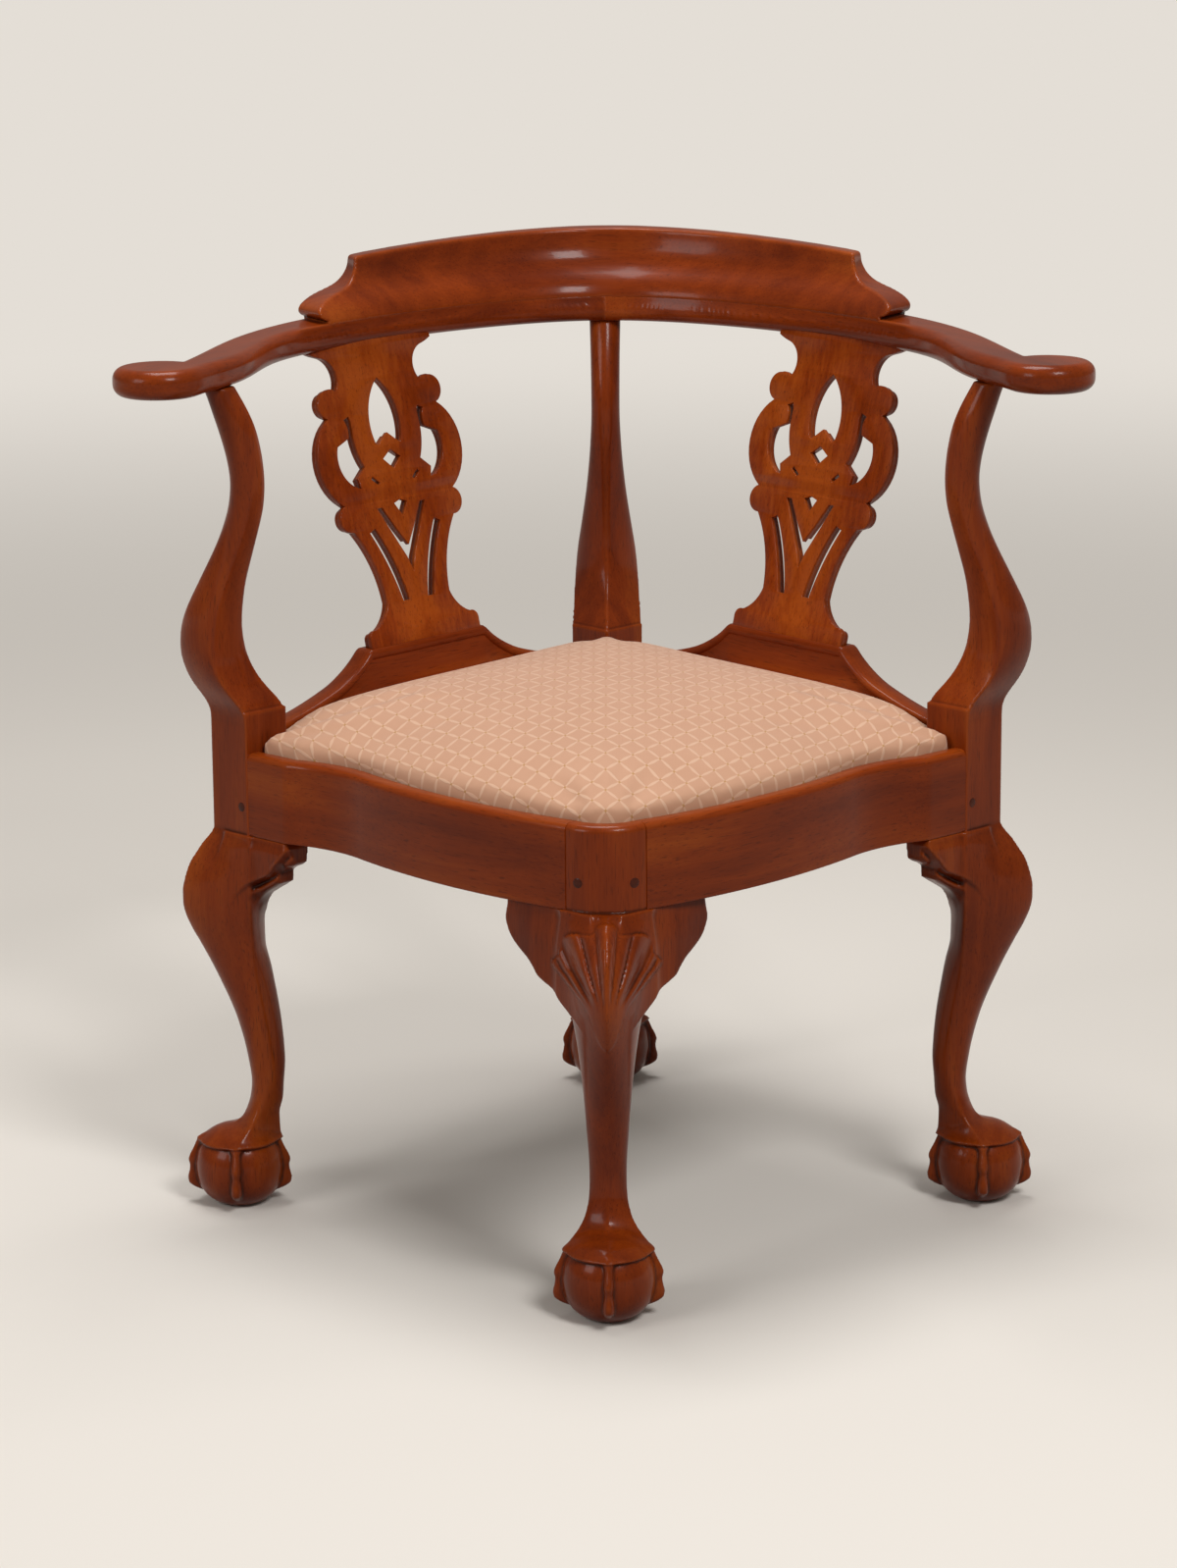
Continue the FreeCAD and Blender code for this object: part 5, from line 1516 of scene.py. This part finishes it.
        bpy.context.collection.objects.link(piece)
        clean(piece)
        sharpen(piece, 50.0)
        dress(piece, finish, "lacquered_cherry", "frame", side.name.lower() + "_splat")


def clean(piece: bpy.types.Object) -> None:
    """Merge doubled points of a piece and turn its faces outward.

    Args:
        piece: The piece to mend.
    """
    work = bmesh.new()
    work.from_mesh(piece.data)
    bmesh.ops.remove_doubles(work, verts=work.verts, dist=0.00002)
    bmesh.ops.recalc_face_normals(work, faces=work.faces)
    work.to_mesh(piece.data)
    work.free()


def line_distance(line: Array, x: Array, y: Array) -> Array:
    """Measure plan points against a line.

    Args:
        line: The line's points.
        x: Places across.
        y: Places along.

    Returns:
        Each place's distance to the line.
    """
    best = np.full(np.broadcast(x, y).shape, 1e9)
    for (ax, ay), (bx, by) in zip(line[:-1], line[1:]):
        dx, dy = bx - ax, by - ay
        share = np.clip(((x - ax) * dx + (y - ay) * dy) / (dx * dx + dy * dy), 0.0, 1.0)
        best = np.minimum(best, (x - ax - dx * share) ** 2 + (y - ay - dy * share) ** 2)
    return np.sqrt(best)


def inside_outline(line: Array, x: Array, y: Array) -> Array:
    """Tell which plan points lie inside a closed line.

    Args:
        line: The line's points.
        x: Places across.
        y: Places along.

    Returns:
        True for each place inside.
    """
    inside = np.zeros(np.broadcast(x, y).shape, dtype=bool)
    for (ax, ay), (bx, by) in zip(line, np.roll(line, -1, axis=0)):
        if ay == by:
            continue
        crosses = ((ay > y) != (by > y)) & (x < (bx - ax) * (y - ay) / (by - ay) + ax)
        inside ^= crosses
    return inside


@dataclass
class ArmPlan:
    """The plan of one half of the arm: inner and outer edges and the round hand pad."""

    inner: tuple[Pair, ...] = (
        (-331, -88), (-309, -74), (-295, -50), (-284, -20), (-262, 85), (-206, 181), (-106, 277), (0, 320),
        (106, 277))
    outer: tuple[Pair, ...] = (
        (-338, -62), (-332, -38), (-304, 86), (-243, 212), (-140, 314), (0, 374), (140, 314))
    pad: Pair = (-346.0, -78.0)
    pad_radius: float = 36.5
    pad_fillet: float = 2.5
    pad_fillet_inside: float = 12.0
    low: Pair = (-390.0, -122.0)
    high: Pair = (8.0, 382.0)

    def edges(self) -> tuple[Array, Array]:
        """Return the inner and the outer edge as lines of points."""
        return spline_points(self.inner, 160), spline_points(self.outer, 160)

    def fields(self, x: Array, y: Array) -> tuple[Array, Array, Array]:
        """Measure plan points against the arm.

        Args:
            x: Places across.
            y: Places along.

        Returns:
            Distances inside the inner edge and inside the outer edge, negative past them, and
            the distance outside the arm with its pad, negative inside.
        """
        inner, outer = self.edges()
        body = np.concatenate([inner, outer[::-1]])
        sign = np.where(inside_outline(body, x, y), 1.0, -1.0)
        from_inner = line_distance(inner, x, y)
        from_outer = line_distance(outer, x, y)
        start = line_distance(np.array([inner[0], outer[0]]), x, y)
        whole = -sign * np.minimum(np.minimum(from_inner, from_outer), start)
        pad = np.hypot(x - self.pad[0], y - self.pad[1]) - self.pad_radius
        width = self.pad_fillet + self.pad_fillet_inside * eased((from_outer - from_inner) / 16.0 + 0.2)
        return from_inner * sign, from_outer * sign, blend_union(whole, pad, width)


@dataclass
class ShapedArm:
    """One half of the arm: flat above and below, full rounded edges and a round hand pad."""

    plan: ArmPlan
    pitch: float = 1.3
    edge_round: float = 9.5

    def build(self, finishes: dict[Side, bpy.types.Material]) -> None:
        """Carve the left arm and mirror it.

        Args:
            finishes: The finish for each side.
        """
        space = Block(Vector((*self.plan.low, ARM_UNDERSIDE - 4.0)), Vector((*self.plan.high, ARM_TOP + 4.0)),
                      self.pitch)
        x, y, z = space.axes()
        flat_x, flat_y = x[:, :, 0].astype(float), y[:, :, 0].astype(float)
        from_inner, from_outer, plan = self.plan.fields(flat_x, flat_y)
        inner_side = eased((from_outer - from_inner) / 10.0)
        under_crest = (inner_side * eased((flat_x + 258.0) / 14.0))[:, :, None]
        middle = (ARM_UNDERSIDE + ARM_TOP) / 2
        radius = self.edge_round
        side = plan[:, :, None] + radius
        level = np.abs(z - middle) - (ARM_THICK / 2 - radius)
        solid = rounded_edge(side, level, radius)
        upright = blend_cut(plan[:, :, None] + 2.4 * eased((z - 696.0) / 15.0), z - ARM_TOP, 0.6)
        solid = np.where(z > middle, solid + (upright - solid) * under_crest, solid)
        solid = np.maximum(solid, x - SEAM_BITE)
        points, quads = space.surface(solid)
        for hand in Side:
            faces = quads if hand is Side.LEFT else quads[:, ::-1]
            places = points if hand is Side.LEFT else mirrored(points)
            piece = mesh_piece(hand.name.lower() + "_arm_shaped", places, faces)
            add_hollow_shade_and_edge_wear(piece, HOLLOW_SHADE_AND_WEAR_REACH)
            dress(piece, finishes[hand], "lacquered_cherry", "frame", hand.name.lower() + "_arm")


@dataclass
class CrestRail:
    """The crest rail: hollow-faced above, full and rolled below, with returned ends."""

    plan: ArmPlan
    pitch: float = 1.4
    set_back: tuple[Pair, ...] = (
        (-3, 1.9), (0, 2), (2, 2.4), (4, 3.1), (8, 4.9), (12, 7.6), (16, 11.2), (20, 15.2), (25, 19.6),
        (31, 23.4), (40, 26.4), (55, 28))
    half_length: tuple[Pair, ...] = (
        (0, 252), (1.8, 252), (3.4, 254.8), (7.6, 256.3), (11, 255.2), (14.4, 251.8), (17, 247.6),
        (19.5, 242), (22, 234.5), (24.5, 228.6), (28, 224), (32, 220.8), (39, 217.8), (47, 217), (55, 217))
    back_inset: float = 3.0
    slant: float = 0.6
    slant_above: float = 0.4
    end_drop: float = 13.0
    arch_reach: float = 277.0

    def build(self, finish: bpy.types.Material) -> None:
        """Carve the crest rail.

        Args:
            finish: Its finish.
        """
        low, high = Vector((-262.0, 60.0, ARM_TOP - 4.0)), Vector((262.0, 382.0, CREST_TOP + 5.0))
        space = Block(low, high, self.pitch)
        x, y, z = space.axes()
        left = -np.abs(x[:, :, 0].astype(float))
        from_inner, from_outer, _ = self.plan.fields(left, y[:, :, 0].astype(float))
        up = z - ARM_TOP
        front = curve_value(self.set_back, up) - from_inner[:, :, None]
        back = self.back_inset - from_outer[:, :, None]
        slant = self.slant + (self.slant_above - self.slant) * eased(up / 45.0)
        turned_in = slant * (from_outer[:, :, None] - self.back_inset)
        ends = np.abs(x) - curve_value(self.half_length, up) + turned_in
        arch = CREST_TOP - self.end_drop * (x / self.arch_reach) ** 2
        solid = blend_cut(front * 0.8, ends * 0.8, 1.5)
        solid = blend_cut(solid, back, 2.0)
        solid = blend_cut(solid, z - arch, 3.0)
        solid = np.maximum(solid, ARM_TOP - 2.0 - z)
        points, quads = space.surface(solid)
        piece = mesh_piece("crest_rail_carved", points, quads)
        add_hollow_shade_and_edge_wear(piece, HOLLOW_SHADE_AND_WEAR_REACH)
        dress(piece, finish, "lacquered_cherry", "frame", "crest_rail")


@dataclass
class FastenerRow:
    """Like fasteners set at several places by one node tree: a head on a round shank."""

    name: str
    head_wide: float
    head_high: float
    shank_wide: float
    shank_long: float
    uneven: float = 0.0
    sides: int = 12

    def tree(self, material: bpy.types.Material) -> bpy.types.GeometryNodeTree:
        """Build the tree that sets one fastener on every point of a mesh.

        Args:
            material: The fasteners' finish.

        Returns:
            The node tree, with named inputs for the sizes.
        """
        tree = bpy.data.node_groups.new(self.name + "_nodes", "GeometryNodeTree")
        tree.interface.new_socket("Geometry", in_out="INPUT", socket_type="NodeSocketGeometry")
        for label in ("Head Wide", "Head High", "Shank Wide", "Shank Long", "Uneven"):
            tree.interface.new_socket(label, in_out="INPUT", socket_type="NodeSocketFloat")
        tree.interface.new_socket("Geometry", in_out="OUTPUT", socket_type="NodeSocketGeometry")
        given = add_node(tree, "NodeGroupInput").outputs
        half_head = add_node(tree, "ShaderNodeMath", {1: 0.5}, {0: given["Head Wide"]}, operation="MULTIPLY")
        half_shank = add_node(tree, "ShaderNodeMath", {1: 0.5}, {0: given["Shank Wide"]},
                              operation="MULTIPLY")
        ball = add_node(tree, "GeometryNodeMeshUVSphere", {"Segments": self.sides, "Rings": 6, "Radius": 1.0})
        dome = add_node(tree, "ShaderNodeCombineXYZ", None,
                        {0: half_head, 1: half_head, 2: given["Head High"]})
        head = add_node(tree, "GeometryNodeTransform", None,
                        {"Geometry": ball.outputs["Mesh"], "Scale": dome}).outputs[0]
        rod = add_node(tree, "GeometryNodeMeshCylinder", {"Vertices": self.sides},
                       {"Radius": half_shank, "Depth": given["Shank Long"]})
        down = add_node(tree, "ShaderNodeMath", {1: -0.5}, {0: given["Shank Long"]}, operation="MULTIPLY")
        drop = add_node(tree, "ShaderNodeCombineXYZ", None, {2: down})
        shank = add_node(tree, "GeometryNodeTransform", None,
                         {"Geometry": rod.outputs["Mesh"], "Translation": drop}).outputs[0]
        whole = add_node(tree, "GeometryNodeJoinGeometry")
        tree.links.new(head, whole.inputs[0])
        tree.links.new(shank, whole.inputs[0])
        aim = add_node(tree, "GeometryNodeInputNamedAttribute", {"Name": "aim"}, data_type="FLOAT_VECTOR")
        turn = add_node(tree, "FunctionNodeAlignRotationToVector", None, {"Vector": aim}, axis="Z")
        small = add_node(tree, "ShaderNodeMath", {0: 1.0}, {1: given["Uneven"]}, operation="SUBTRACT")
        large = add_node(tree, "ShaderNodeMath", {0: 1.0}, {1: given["Uneven"]}, operation="ADD")
        spread = add_node(tree, "FunctionNodeRandomValue", {"Seed": 7}, {2: small, 3: large},
                          data_type="FLOAT")
        placed = add_node(tree, "GeometryNodeInstanceOnPoints", None,
                          {"Points": given["Geometry"], "Instance": whole, "Rotation": turn,
                           "Scale": spread.outputs[1]})
        real = add_node(tree, "GeometryNodeRealizeInstances", None, {"Geometry": placed})
        done = add_node(tree, "GeometryNodeSetMaterial", {"Material": material}, {"Geometry": real})
        add_node(tree, "NodeGroupOutput", None, {0: done})
        return tree

    def build(self, places: Array, aims: Array, material: bpy.types.Material, slot: str, body: str,
              node: str) -> None:
        """Make the row as one piece.

        Args:
            places: Where each head's base lies, in joiner's millimetres.
            aims: Unit vectors out of each head.
            material: The fasteners' finish.
            slot: The record's material slot.
            body: The body that they ride on.
            node: The CAD node that they stand for.
        """
        points = mesh_piece(self.name + "_places", places, [])
        attribute = points.data.attributes.new("aim", "FLOAT_VECTOR", "POINT")
        attribute.data.foreach_set("vector", np.asarray(aims, dtype=np.float32).ravel())
        modifier = points.modifiers.new("fasteners", "NODES")
        modifier.node_group = self.tree(material)
        sizes = {"Head Wide": self.head_wide * MM, "Head High": self.head_high * MM,
                 "Shank Wide": self.shank_wide * MM, "Shank Long": self.shank_long * MM,
                 "Uneven": self.uneven}
        for item in modifier.node_group.interface.items_tree:
            if item.in_out == "INPUT" and item.name in sizes:
                modifier[item.identifier] = sizes[item.name]
        bpy.context.view_layer.update()
        mesh = bpy.data.meshes.new_from_object(points.evaluated_get(bpy.context.evaluated_depsgraph_get()))
        bpy.data.objects.remove(points)
        piece = bpy.data.objects.new(self.name, mesh)
        bpy.context.collection.objects.link(piece)
        dress(piece, material, slot, body, node)


@dataclass
class LooseSeat:
    """The lift-out seat: stuffed and covered above, with a dust cover below."""

    gap: float = 0.8
    slack: float = 0.9
    voxel: float = 4.25
    pressure: float = 2.2
    most_swell: float = 4.0
    hessian_in: float = 12.0
    crown_blend: float = 6.0
    edge_round: float = 3.5
    stiffness: float = 25.0
    steps: int = 15
    cloth_drop: float = 0.9
    drop_from: float = 22.0
    front_rise: tuple[Pair, ...] = (
        (0, 397), (2, 399.5), (5, 401.8), (10, 404.2), (16, 406.5), (26, 411), (50, 418.5), (90, 425.5),
        (150, 431), (220, 434), (300, 435))
    rear_rise: tuple[Pair, ...] = (
        (0, 407), (5, 413), (15, 417.5), (40, 423.5), (90, 430), (160, 434), (300, 436))

    def outline(self, shrink: float) -> Array:
        """Sample the seat's outline in plan.

        Args:
            shrink: How far inside the rails' lips it lies.

        Returns:
            Rows of X and Y round the seat.
        """
        lip = LIP_WIDE + shrink
        back = REAR_LEDGE_OUT - shrink
        notch = DIAGONAL + shrink * math.sqrt(2.0)
        first = float(FRONT_LINE.shoulder(RAIL_OUT - lip, False)) + shrink
        last = FRONT_LINE.length - HALF
        along = np.concatenate([np.linspace(first, 64.0, 8)[:-1], np.linspace(64.0, last, 60)])
        front = FRONT_LINE.at(along, front_path(along) - lip, 0.0)[:, :2]
        nose = np.array(arc_points([tuple(front[-1]), (0.0, -276.0 + lip), (-front[-1][0], front[-1][1])],
                                   12))[1:]
        rear_along = np.linspace(float(REAR_LINE.shoulder(back, True)) - shrink,
                                 float(REAR_LINE.shoulder(back, False)) + shrink, 60)
        rear = REAR_LINE.at(rear_along, back, 0.0)[:, :2]
        tip = np.linspace((0.0, REAR_STILE_Y - notch), rear[0], 6)[:-1]
        inner = np.linspace(rear[-1], (-SIDE_STILE_X + notch, 0.0), 5)[1:]
        outer = np.linspace((-SIDE_STILE_X + notch, 0.0), front[0], 5)[1:-1]
        left = np.concatenate([tip, rear, inner, outer, front])
        right = (left * (-1.0, 1.0))[::-1][:-1]
        return np.concatenate([left, nose, right])

    def height(self, from_front: Array, from_rear: Array) -> Array:
        """Return the height of the cushion's top.

        Args:
            from_front: Distances inside the front edge.
            from_rear: Distances inside the rear edge.

        Returns:
            Heights above the floor.
        """
        front = curve_value(self.front_rise, from_front)
        rear = curve_value(self.rear_rise, from_rear)
        return blend_union(front, rear, self.crown_blend)

    def cushion(self) -> tuple[Array, Array]:
        """Carve the cushion before it is stuffed tight.

        Returns:
            The skin's points and faces.
        """
        ring = self.outline(self.gap + self.slack)
        space = Block(Vector((-292.0, -284.0, LEDGE - 8.0)), Vector((292.0, 308.0, RAIL_TOP + 54.0)),
                      self.voxel)
        x, y, z = space.axes()
        flat_x, flat_y = x[:, :, 0].astype(float), y[:, :, 0].astype(float)
        closed = np.concatenate([ring, ring[:1]])
        sign = np.where(inside_outline(ring, flat_x, flat_y), -1.0, 1.0)
        edge = line_distance(closed, flat_x, flat_y) * sign
        middle = REAR_LINE.start[1] + 18.0
        front = ring[ring[:, 1] < middle]
        front = front[np.argsort(np.arctan2(front[:, 1] - middle, front[:, 0]))]
        rear = ring[ring[:, 1] >= middle]
        rear = rear[np.argsort(np.arctan2(rear[:, 1] - middle, rear[:, 0]))]
        top = self.height(line_distance(front, flat_x, flat_y), line_distance(rear, flat_x, flat_y))
        solid = blend_cut(edge[:, :, None], (z - (top - self.slack)[:, :, None]) * 0.8, self.edge_round)
        solid = blend_cut(solid, LEDGE + 0.5 - z, 3.0)
        return space.surface(solid)

    def build(self, cloth: bpy.types.Material, jute: bpy.types.Material) -> None:
        """Make the covered seat and the hessian in it.

        Args:
            cloth: The seat cloth's finish.
            jute: The hessian's finish.
        """
        points, faces = self.cushion()
        piece = mesh_piece("covered_seat", points, faces)
        self.stuff(piece)
        smooth = piece.modifiers.new("smooth", "SUBSURF")
        smooth.levels = 1
        smooth.render_levels = 1
        settle(piece)
        self.lay_cloth(piece)
        piece.data.polygons.foreach_set("use_smooth", [True] * len(piece.data.polygons))
        dress(piece, cloth, "seat_fabric", "seat", "seat_cover", "seat_stuffing")
        self.hessian(jute)

    def hessian(self, finish: bpy.types.Material) -> None:
        """Make the hessian that lies over the webbing, clear of the cloth's edge.

        Args:
            finish: Its finish.
        """
        low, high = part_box("seat_hessian")
        ring = self.outline(self.hessian_in)
        levels = [np.column_stack([ring, np.full(len(ring), level / MM)]) for level in (low[2], high[2])]
        points, faces = loft_faces(np.stack(levels[::-1]))
        piece = mesh_piece("hessian_sheet", points, faces, False)
        dress(piece, finish, "hessian", "seat", "seat_hessian")

    def stuff(self, piece: bpy.types.Object) -> None:
        """Swell the cushion by a short cloth simulation, held where it sits between the rails.

        Args:
            piece: The cushion.
        """
        mesh = piece.data
        before = point_rows(mesh.vertices, "co")
        group = piece.vertex_groups.new(name="held")
        held = [int(index) for index in np.flatnonzero(before[:, 2] < (RAIL_TOP + 1.0) * MM)]
        group.add(held, 1.0, "REPLACE")
        modifier = piece.modifiers.new("stuffed", "CLOTH")
        modifier.settings.use_pressure = True
        modifier.settings.uniform_pressure_force = self.pressure
        modifier.settings.vertex_group_mass = group.name
        modifier.settings.effector_weights.gravity = 0.0
        modifier.settings.tension_stiffness = self.stiffness
        modifier.settings.compression_stiffness = self.stiffness
        modifier.settings.bending_stiffness = 4.0
        modifier.collision_settings.use_collision = False
        scene = bpy.context.scene
        for step in range(1, self.steps + 1):
            scene.frame_set(step)
        bpy.context.view_layer.update()
        result = piece.evaluated_get(bpy.context.evaluated_depsgraph_get()).to_mesh()
        after = point_rows(result.vertices, "co")
        piece.modifiers.remove(modifier)
        scene.frame_set(1)
        moved = after - before
        size = np.linalg.norm(moved, axis=1, keepdims=True)
        limit = self.most_swell * MM
        moved *= np.where(size > limit, limit / np.maximum(size, 1e-9), 1.0)
        mesh.vertices.foreach_set("co", (before + moved).ravel())
        mesh.update()
        LOG.info("cushion swelled by up to %.1f mm", float(size.max()) / MM)

    def lay_cloth(self, piece: bpy.types.Object) -> None:
        """Store where each point lies on the flat cloth, so the figure runs on down the sides.

        Args:
            piece: The cushion.
        """
        mesh = piece.data
        places = point_rows(mesh.vertices, "co")
        from_middle = places[:, :2]
        size = np.linalg.norm(from_middle, axis=1, keepdims=True)
        drop = np.maximum((RAIL_TOP + self.drop_from) * MM - places[:, 2:3], 0.0) * self.cloth_drop
        flat = from_middle + from_middle / np.maximum(size, 1e-6) * drop
        lay = np.concatenate([flat, np.zeros((len(flat), 1))], axis=1)
        attribute = mesh.attributes.new("lay", "FLOAT_VECTOR", "POINT")
        attribute.data.foreach_set("vector", lay.astype(np.float32).ravel())


def settle(piece: bpy.types.Object) -> None:
    """Turn a piece's modifiers into its mesh.

    Args:
        piece: The piece with modifiers.
    """
    bpy.context.view_layer.update()
    mesh = bpy.data.meshes.new_from_object(piece.evaluated_get(bpy.context.evaluated_depsgraph_get()))
    piece.modifiers.clear()
    piece.data = mesh


@dataclass
class Studio:
    """A pale floor, soft lamps and the camera."""

    lens: float = 103.63
    pitch_down: float = 13.71
    swing: float = 0.45
    roll: float = -0.45
    camera_place: tuple[float, float, float] = (0.01319, -3.59266, 1.22376)
    floor_colour: str = "e4ded6"
    bounce_colour: str = "7d6753"
    world_colour: str = "e9e4dd"
    world_strength: float = 0.3
    near_floor: float = 1.2
    far_floor: float = 5.0

    def build(self) -> None:
        """Make the floor, lamps, world and camera."""
        self.floor()
        self.lamp("key", (1.3, -2.2, 2.9), (0.0, 0.0, 0.45), 1.0, 62.0)
        self.lamp("fill", (-2.6, -2.0, 1.9), (0.0, 0.0, 0.45), 1.4, 30.0)
        self.lamp("top", (-0.2, 0.6, 3.2), (0.0, 0.1, 0.5), 1.3, 50.0)
        world = bpy.data.worlds.new("studio")
        world.use_nodes = True
        back = world.node_tree.nodes["Background"]
        back.inputs["Color"].default_value = linear(self.world_colour)
        back.inputs["Strength"].default_value = self.world_strength
        bpy.context.scene.world = world
        bpy.context.scene.view_settings.view_transform = "Standard"
        camera = bpy.data.cameras.new("view")
        camera.lens = self.lens
        camera.sensor_width = 36.0
        camera.clip_end = 200.0
        holder = bpy.data.objects.new("view", camera)
        holder.location = self.camera_place
        aim = Euler((math.radians(90.0 - self.pitch_down), 0.0, math.radians(self.swing))).to_matrix()
        spin = Matrix.Rotation(math.radians(self.roll), 3, "Z")
        holder.rotation_euler = (aim @ spin).to_euler()
        bpy.context.collection.objects.link(holder)
        bpy.context.scene.camera = holder

    def floor(self) -> None:
        """Make the plain pale floor."""
        reach = 60.0
        mesh = bpy.data.meshes.new("floor")
        mesh.from_pydata([(-reach, -reach, 0.0), (reach, -reach, 0.0), (reach, reach, 0.0),
                          (-reach, reach, 0.0)], [],
                         [(0, 1, 2, 3)])
        plane = bpy.data.objects.new("floor", mesh)
        bpy.context.collection.objects.link(plane)
        material, tree = new_material("painted_floor")
        ray = add_node(tree, "ShaderNodeLightPath").outputs
        seen = add_node(tree, "ShaderNodeMath", None, {0: ray["Is Camera Ray"], 1: ray["Is Glossy Ray"]},
                        operation="MAXIMUM")
        shown = add_node(tree, "ShaderNodeMath", None, {0: seen, 1: ray["Is Transmission Ray"]},
                         operation="MAXIMUM")
        colour = add_node(tree, "ShaderNodeMix",
                          {6: linear(self.bounce_colour), 7: linear(self.floor_colour)},
                          {0: shown}, data_type="RGBA").outputs[2]
        shader = add_node(tree, "ShaderNodeBsdfPrincipled", {"Roughness": 0.85, "Specular IOR Level": 0.1},
                          {"Base Color": colour})
        glow = add_node(tree, "ShaderNodeEmission", {"Color": linear(self.floor_colour)})
        place = add_node(tree, "ShaderNodeTexCoord").outputs["Object"]
        away = add_node(tree, "ShaderNodeVectorMath", None, {0: place}, operation="LENGTH").outputs["Value"]
        far = add_node(tree, "ShaderNodeMapRange", {"From Min": self.near_floor, "From Max": self.far_floor},
                       {"Value": away}, interpolation_type="SMOOTHSTEP")
        share = add_node(tree, "ShaderNodeMath", None, {0: far, 1: shown}, operation="MULTIPLY")
        mixed = add_node(tree, "ShaderNodeMixShader", None, {0: share, 1: shader, 2: glow})
        add_node(tree, "ShaderNodeOutputMaterial", None, {"Surface": mixed})
        plane.data.materials.append(material)

    def lamp(self, name: str, place: tuple, target: tuple, size: float, power: float) -> None:
        """Add one soft square lamp.

        Args:
            name: The lamp's name.
            place: Where it stands, in metres.
            target: What it looks at.
            size: Its side in metres.
            power: Its power in watts.
        """
        data = bpy.data.lights.new(name, "AREA")
        data.size = size
        data.energy = power
        lamp = bpy.data.objects.new(name, data)
        lamp.location = place
        lamp.rotation_euler = (Vector(target) - Vector(place)).to_track_quat("-Z", "Y").to_euler()
        bpy.context.collection.objects.link(lamp)


def rail_pegs() -> tuple[Array, Array]:
    """Place the rail pegs.

    Returns:
        Where they end and which way they look.
    """
    unit = DIAGONAL_UNIT
    side, rear = (-SIDE_STILE_X, 0.0), (0.0, REAR_STILE_Y)
    faces = ((side, (-unit, -unit), (unit, -unit)), (side, (-unit, unit), (unit, unit)),
             (rear, (-unit, unit), (-unit, -unit)))
    places = [(-21.6, -270.0, PEG_HEIGHT)]
    aims = [(-0.502, -0.865, 0.0)]
    for (x, y), out, way in faces:
        reach = HALF - PEG_FROM_EDGE
        places.append((x + HALF * out[0] + reach * way[0], y + HALF * out[1] + reach * way[1], PEG_HEIGHT))
        aims.append((*out, 0.0))
    flip = np.array([-1.0, 1.0, 1.0])
    return np.concatenate([places, places * flip]), np.concatenate([aims, aims * flip])


def seat_tacks() -> tuple[Array, Array]:
    """Place the tacks under the seat.

    Returns:
        Where their heads lie and which way they look.
    """
    places = []
    for line, out in ((FRONT_LINE, FRONT_RAIL_IN - 16.0), (REAR_LINE, REAR_RAIL_IN - 12.0)):
        for step in range(7):
            along = line.length * (0.2 + 0.1 * step)
            spot = line.at(np.array(along), np.array(out), np.array(LEDGE - 0.6))
            places += [spot, mirrored(spot)]
    return np.array(places), np.tile((0.0, 0.0, -1.0), (len(places), 1))


def repaint(names: Sequence[str], material: bpy.types.Material) -> None:
    """Give carried-over CAD nodes a finish.

    Args:
        names: The nodes.
        material: Their finish.
    """
    for name in names:
        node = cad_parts[name]
        node.data.materials.clear()
        node.data.materials.append(material)


def main() -> None:
    """Build the chair's looks in order."""
    logging.basicConfig(level=logging.INFO, format="%(message)s")
    Studio().build()
    upright = LacqueredCherry("cherry_upright", Grain.UPRIGHT, heart=(60.0, 40.0)).make()
    for corner in Corner:
        CarvedLeg(corner, upright, SHELL_PITCH if corner is Corner.FRONT else LEG_PITCH).build()
    sawn = LacqueredCherry("cherry_sawn", Grain.UPRIGHT, heart=(220.0, 90.0), streak_mm=3.4,
                           streaks=0.42).make()
    rails = (("front", FRONT_LINE, front_path, FRONT_RAIL_IN, None),
             ("rear", REAR_LINE, lambda along: np.full(np.shape(along), RAIL_OUT), REAR_RAIL_IN,
              REAR_LEDGE_OUT))
    plan = ArmPlan()
    arm_finishes = {}
    for side in Side:
        hand = side.name.lower()
        for place, line, path, inner, ledge in rails:
            finish = LacqueredCherry("cherry_" + place + "_" + hand, Grain[place.upper() + "_" + side.name],
                                     heart=(70.0, -30.0)).make()
            node = place + "_" + hand + "_rail"
            SeatRail(place + "_rail", line, path, inner, ledge).build(side, finish, node)
            if place == "rear":
                SplatShoe().build(side, finish)
        PiercedSplat().build(side, sawn)
        arm_finishes[side] = LacqueredCherry("cherry_arm_" + hand, Grain["ARM_" + side.name],
                                             heart=(20.0, 60.0)).make()
    ShapedArm(plan).build(arm_finishes)
    CrestRail(plan).build(LacqueredCherry("cherry_crest", Grain.ACROSS, heart=(-330.0, -700.0)).make())
    steel = DullSteel().make()
    pegs = LacqueredCherry("cherry_end_grain", Grain.ACROSS, deep="36120a", middle="4c1c0b",
                           pale="622811").make()
    FastenerRow("rail_pegs_set", 7.4, 0.5, 8.0, 26.0, 0.04, 10).build(*rail_pegs(), pegs, "lacquered_cherry",
                                                                      "frame",
                                                                  "rail_pegs")
    FastenerRow("seat_tacks_set", 7.0, 1.0, 1.6, 11.0, 0.05).build(*seat_tacks(), steel, "steel", "seat",
                                                                   "seat_tacks")
    cloth = LatticeDamask().make()
    hessian = PlainWeave("jute_hessian", "b08e5c", "80633a", 1.8).make()
    LooseSeat().build(cloth, hessian)
    pine = PlanedPine().make()
    repaint([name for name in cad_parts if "corner_block" in name and "screws" not in name], pine)
    repaint([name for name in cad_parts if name.startswith("seat_frame")], pine)
    repaint(["corner_block_screws", "crest_screws"], steel)
    repaint(["seat_webbing"], PlainWeave("jute_webbing", "a07c4d", "7a5a33", 2.2).make())
    repaint(["seat_dust_cover"], PlainWeave("dust_cloth_black", "24221f", "0f0e0d").make())


if __name__ == "__main__":
    main()
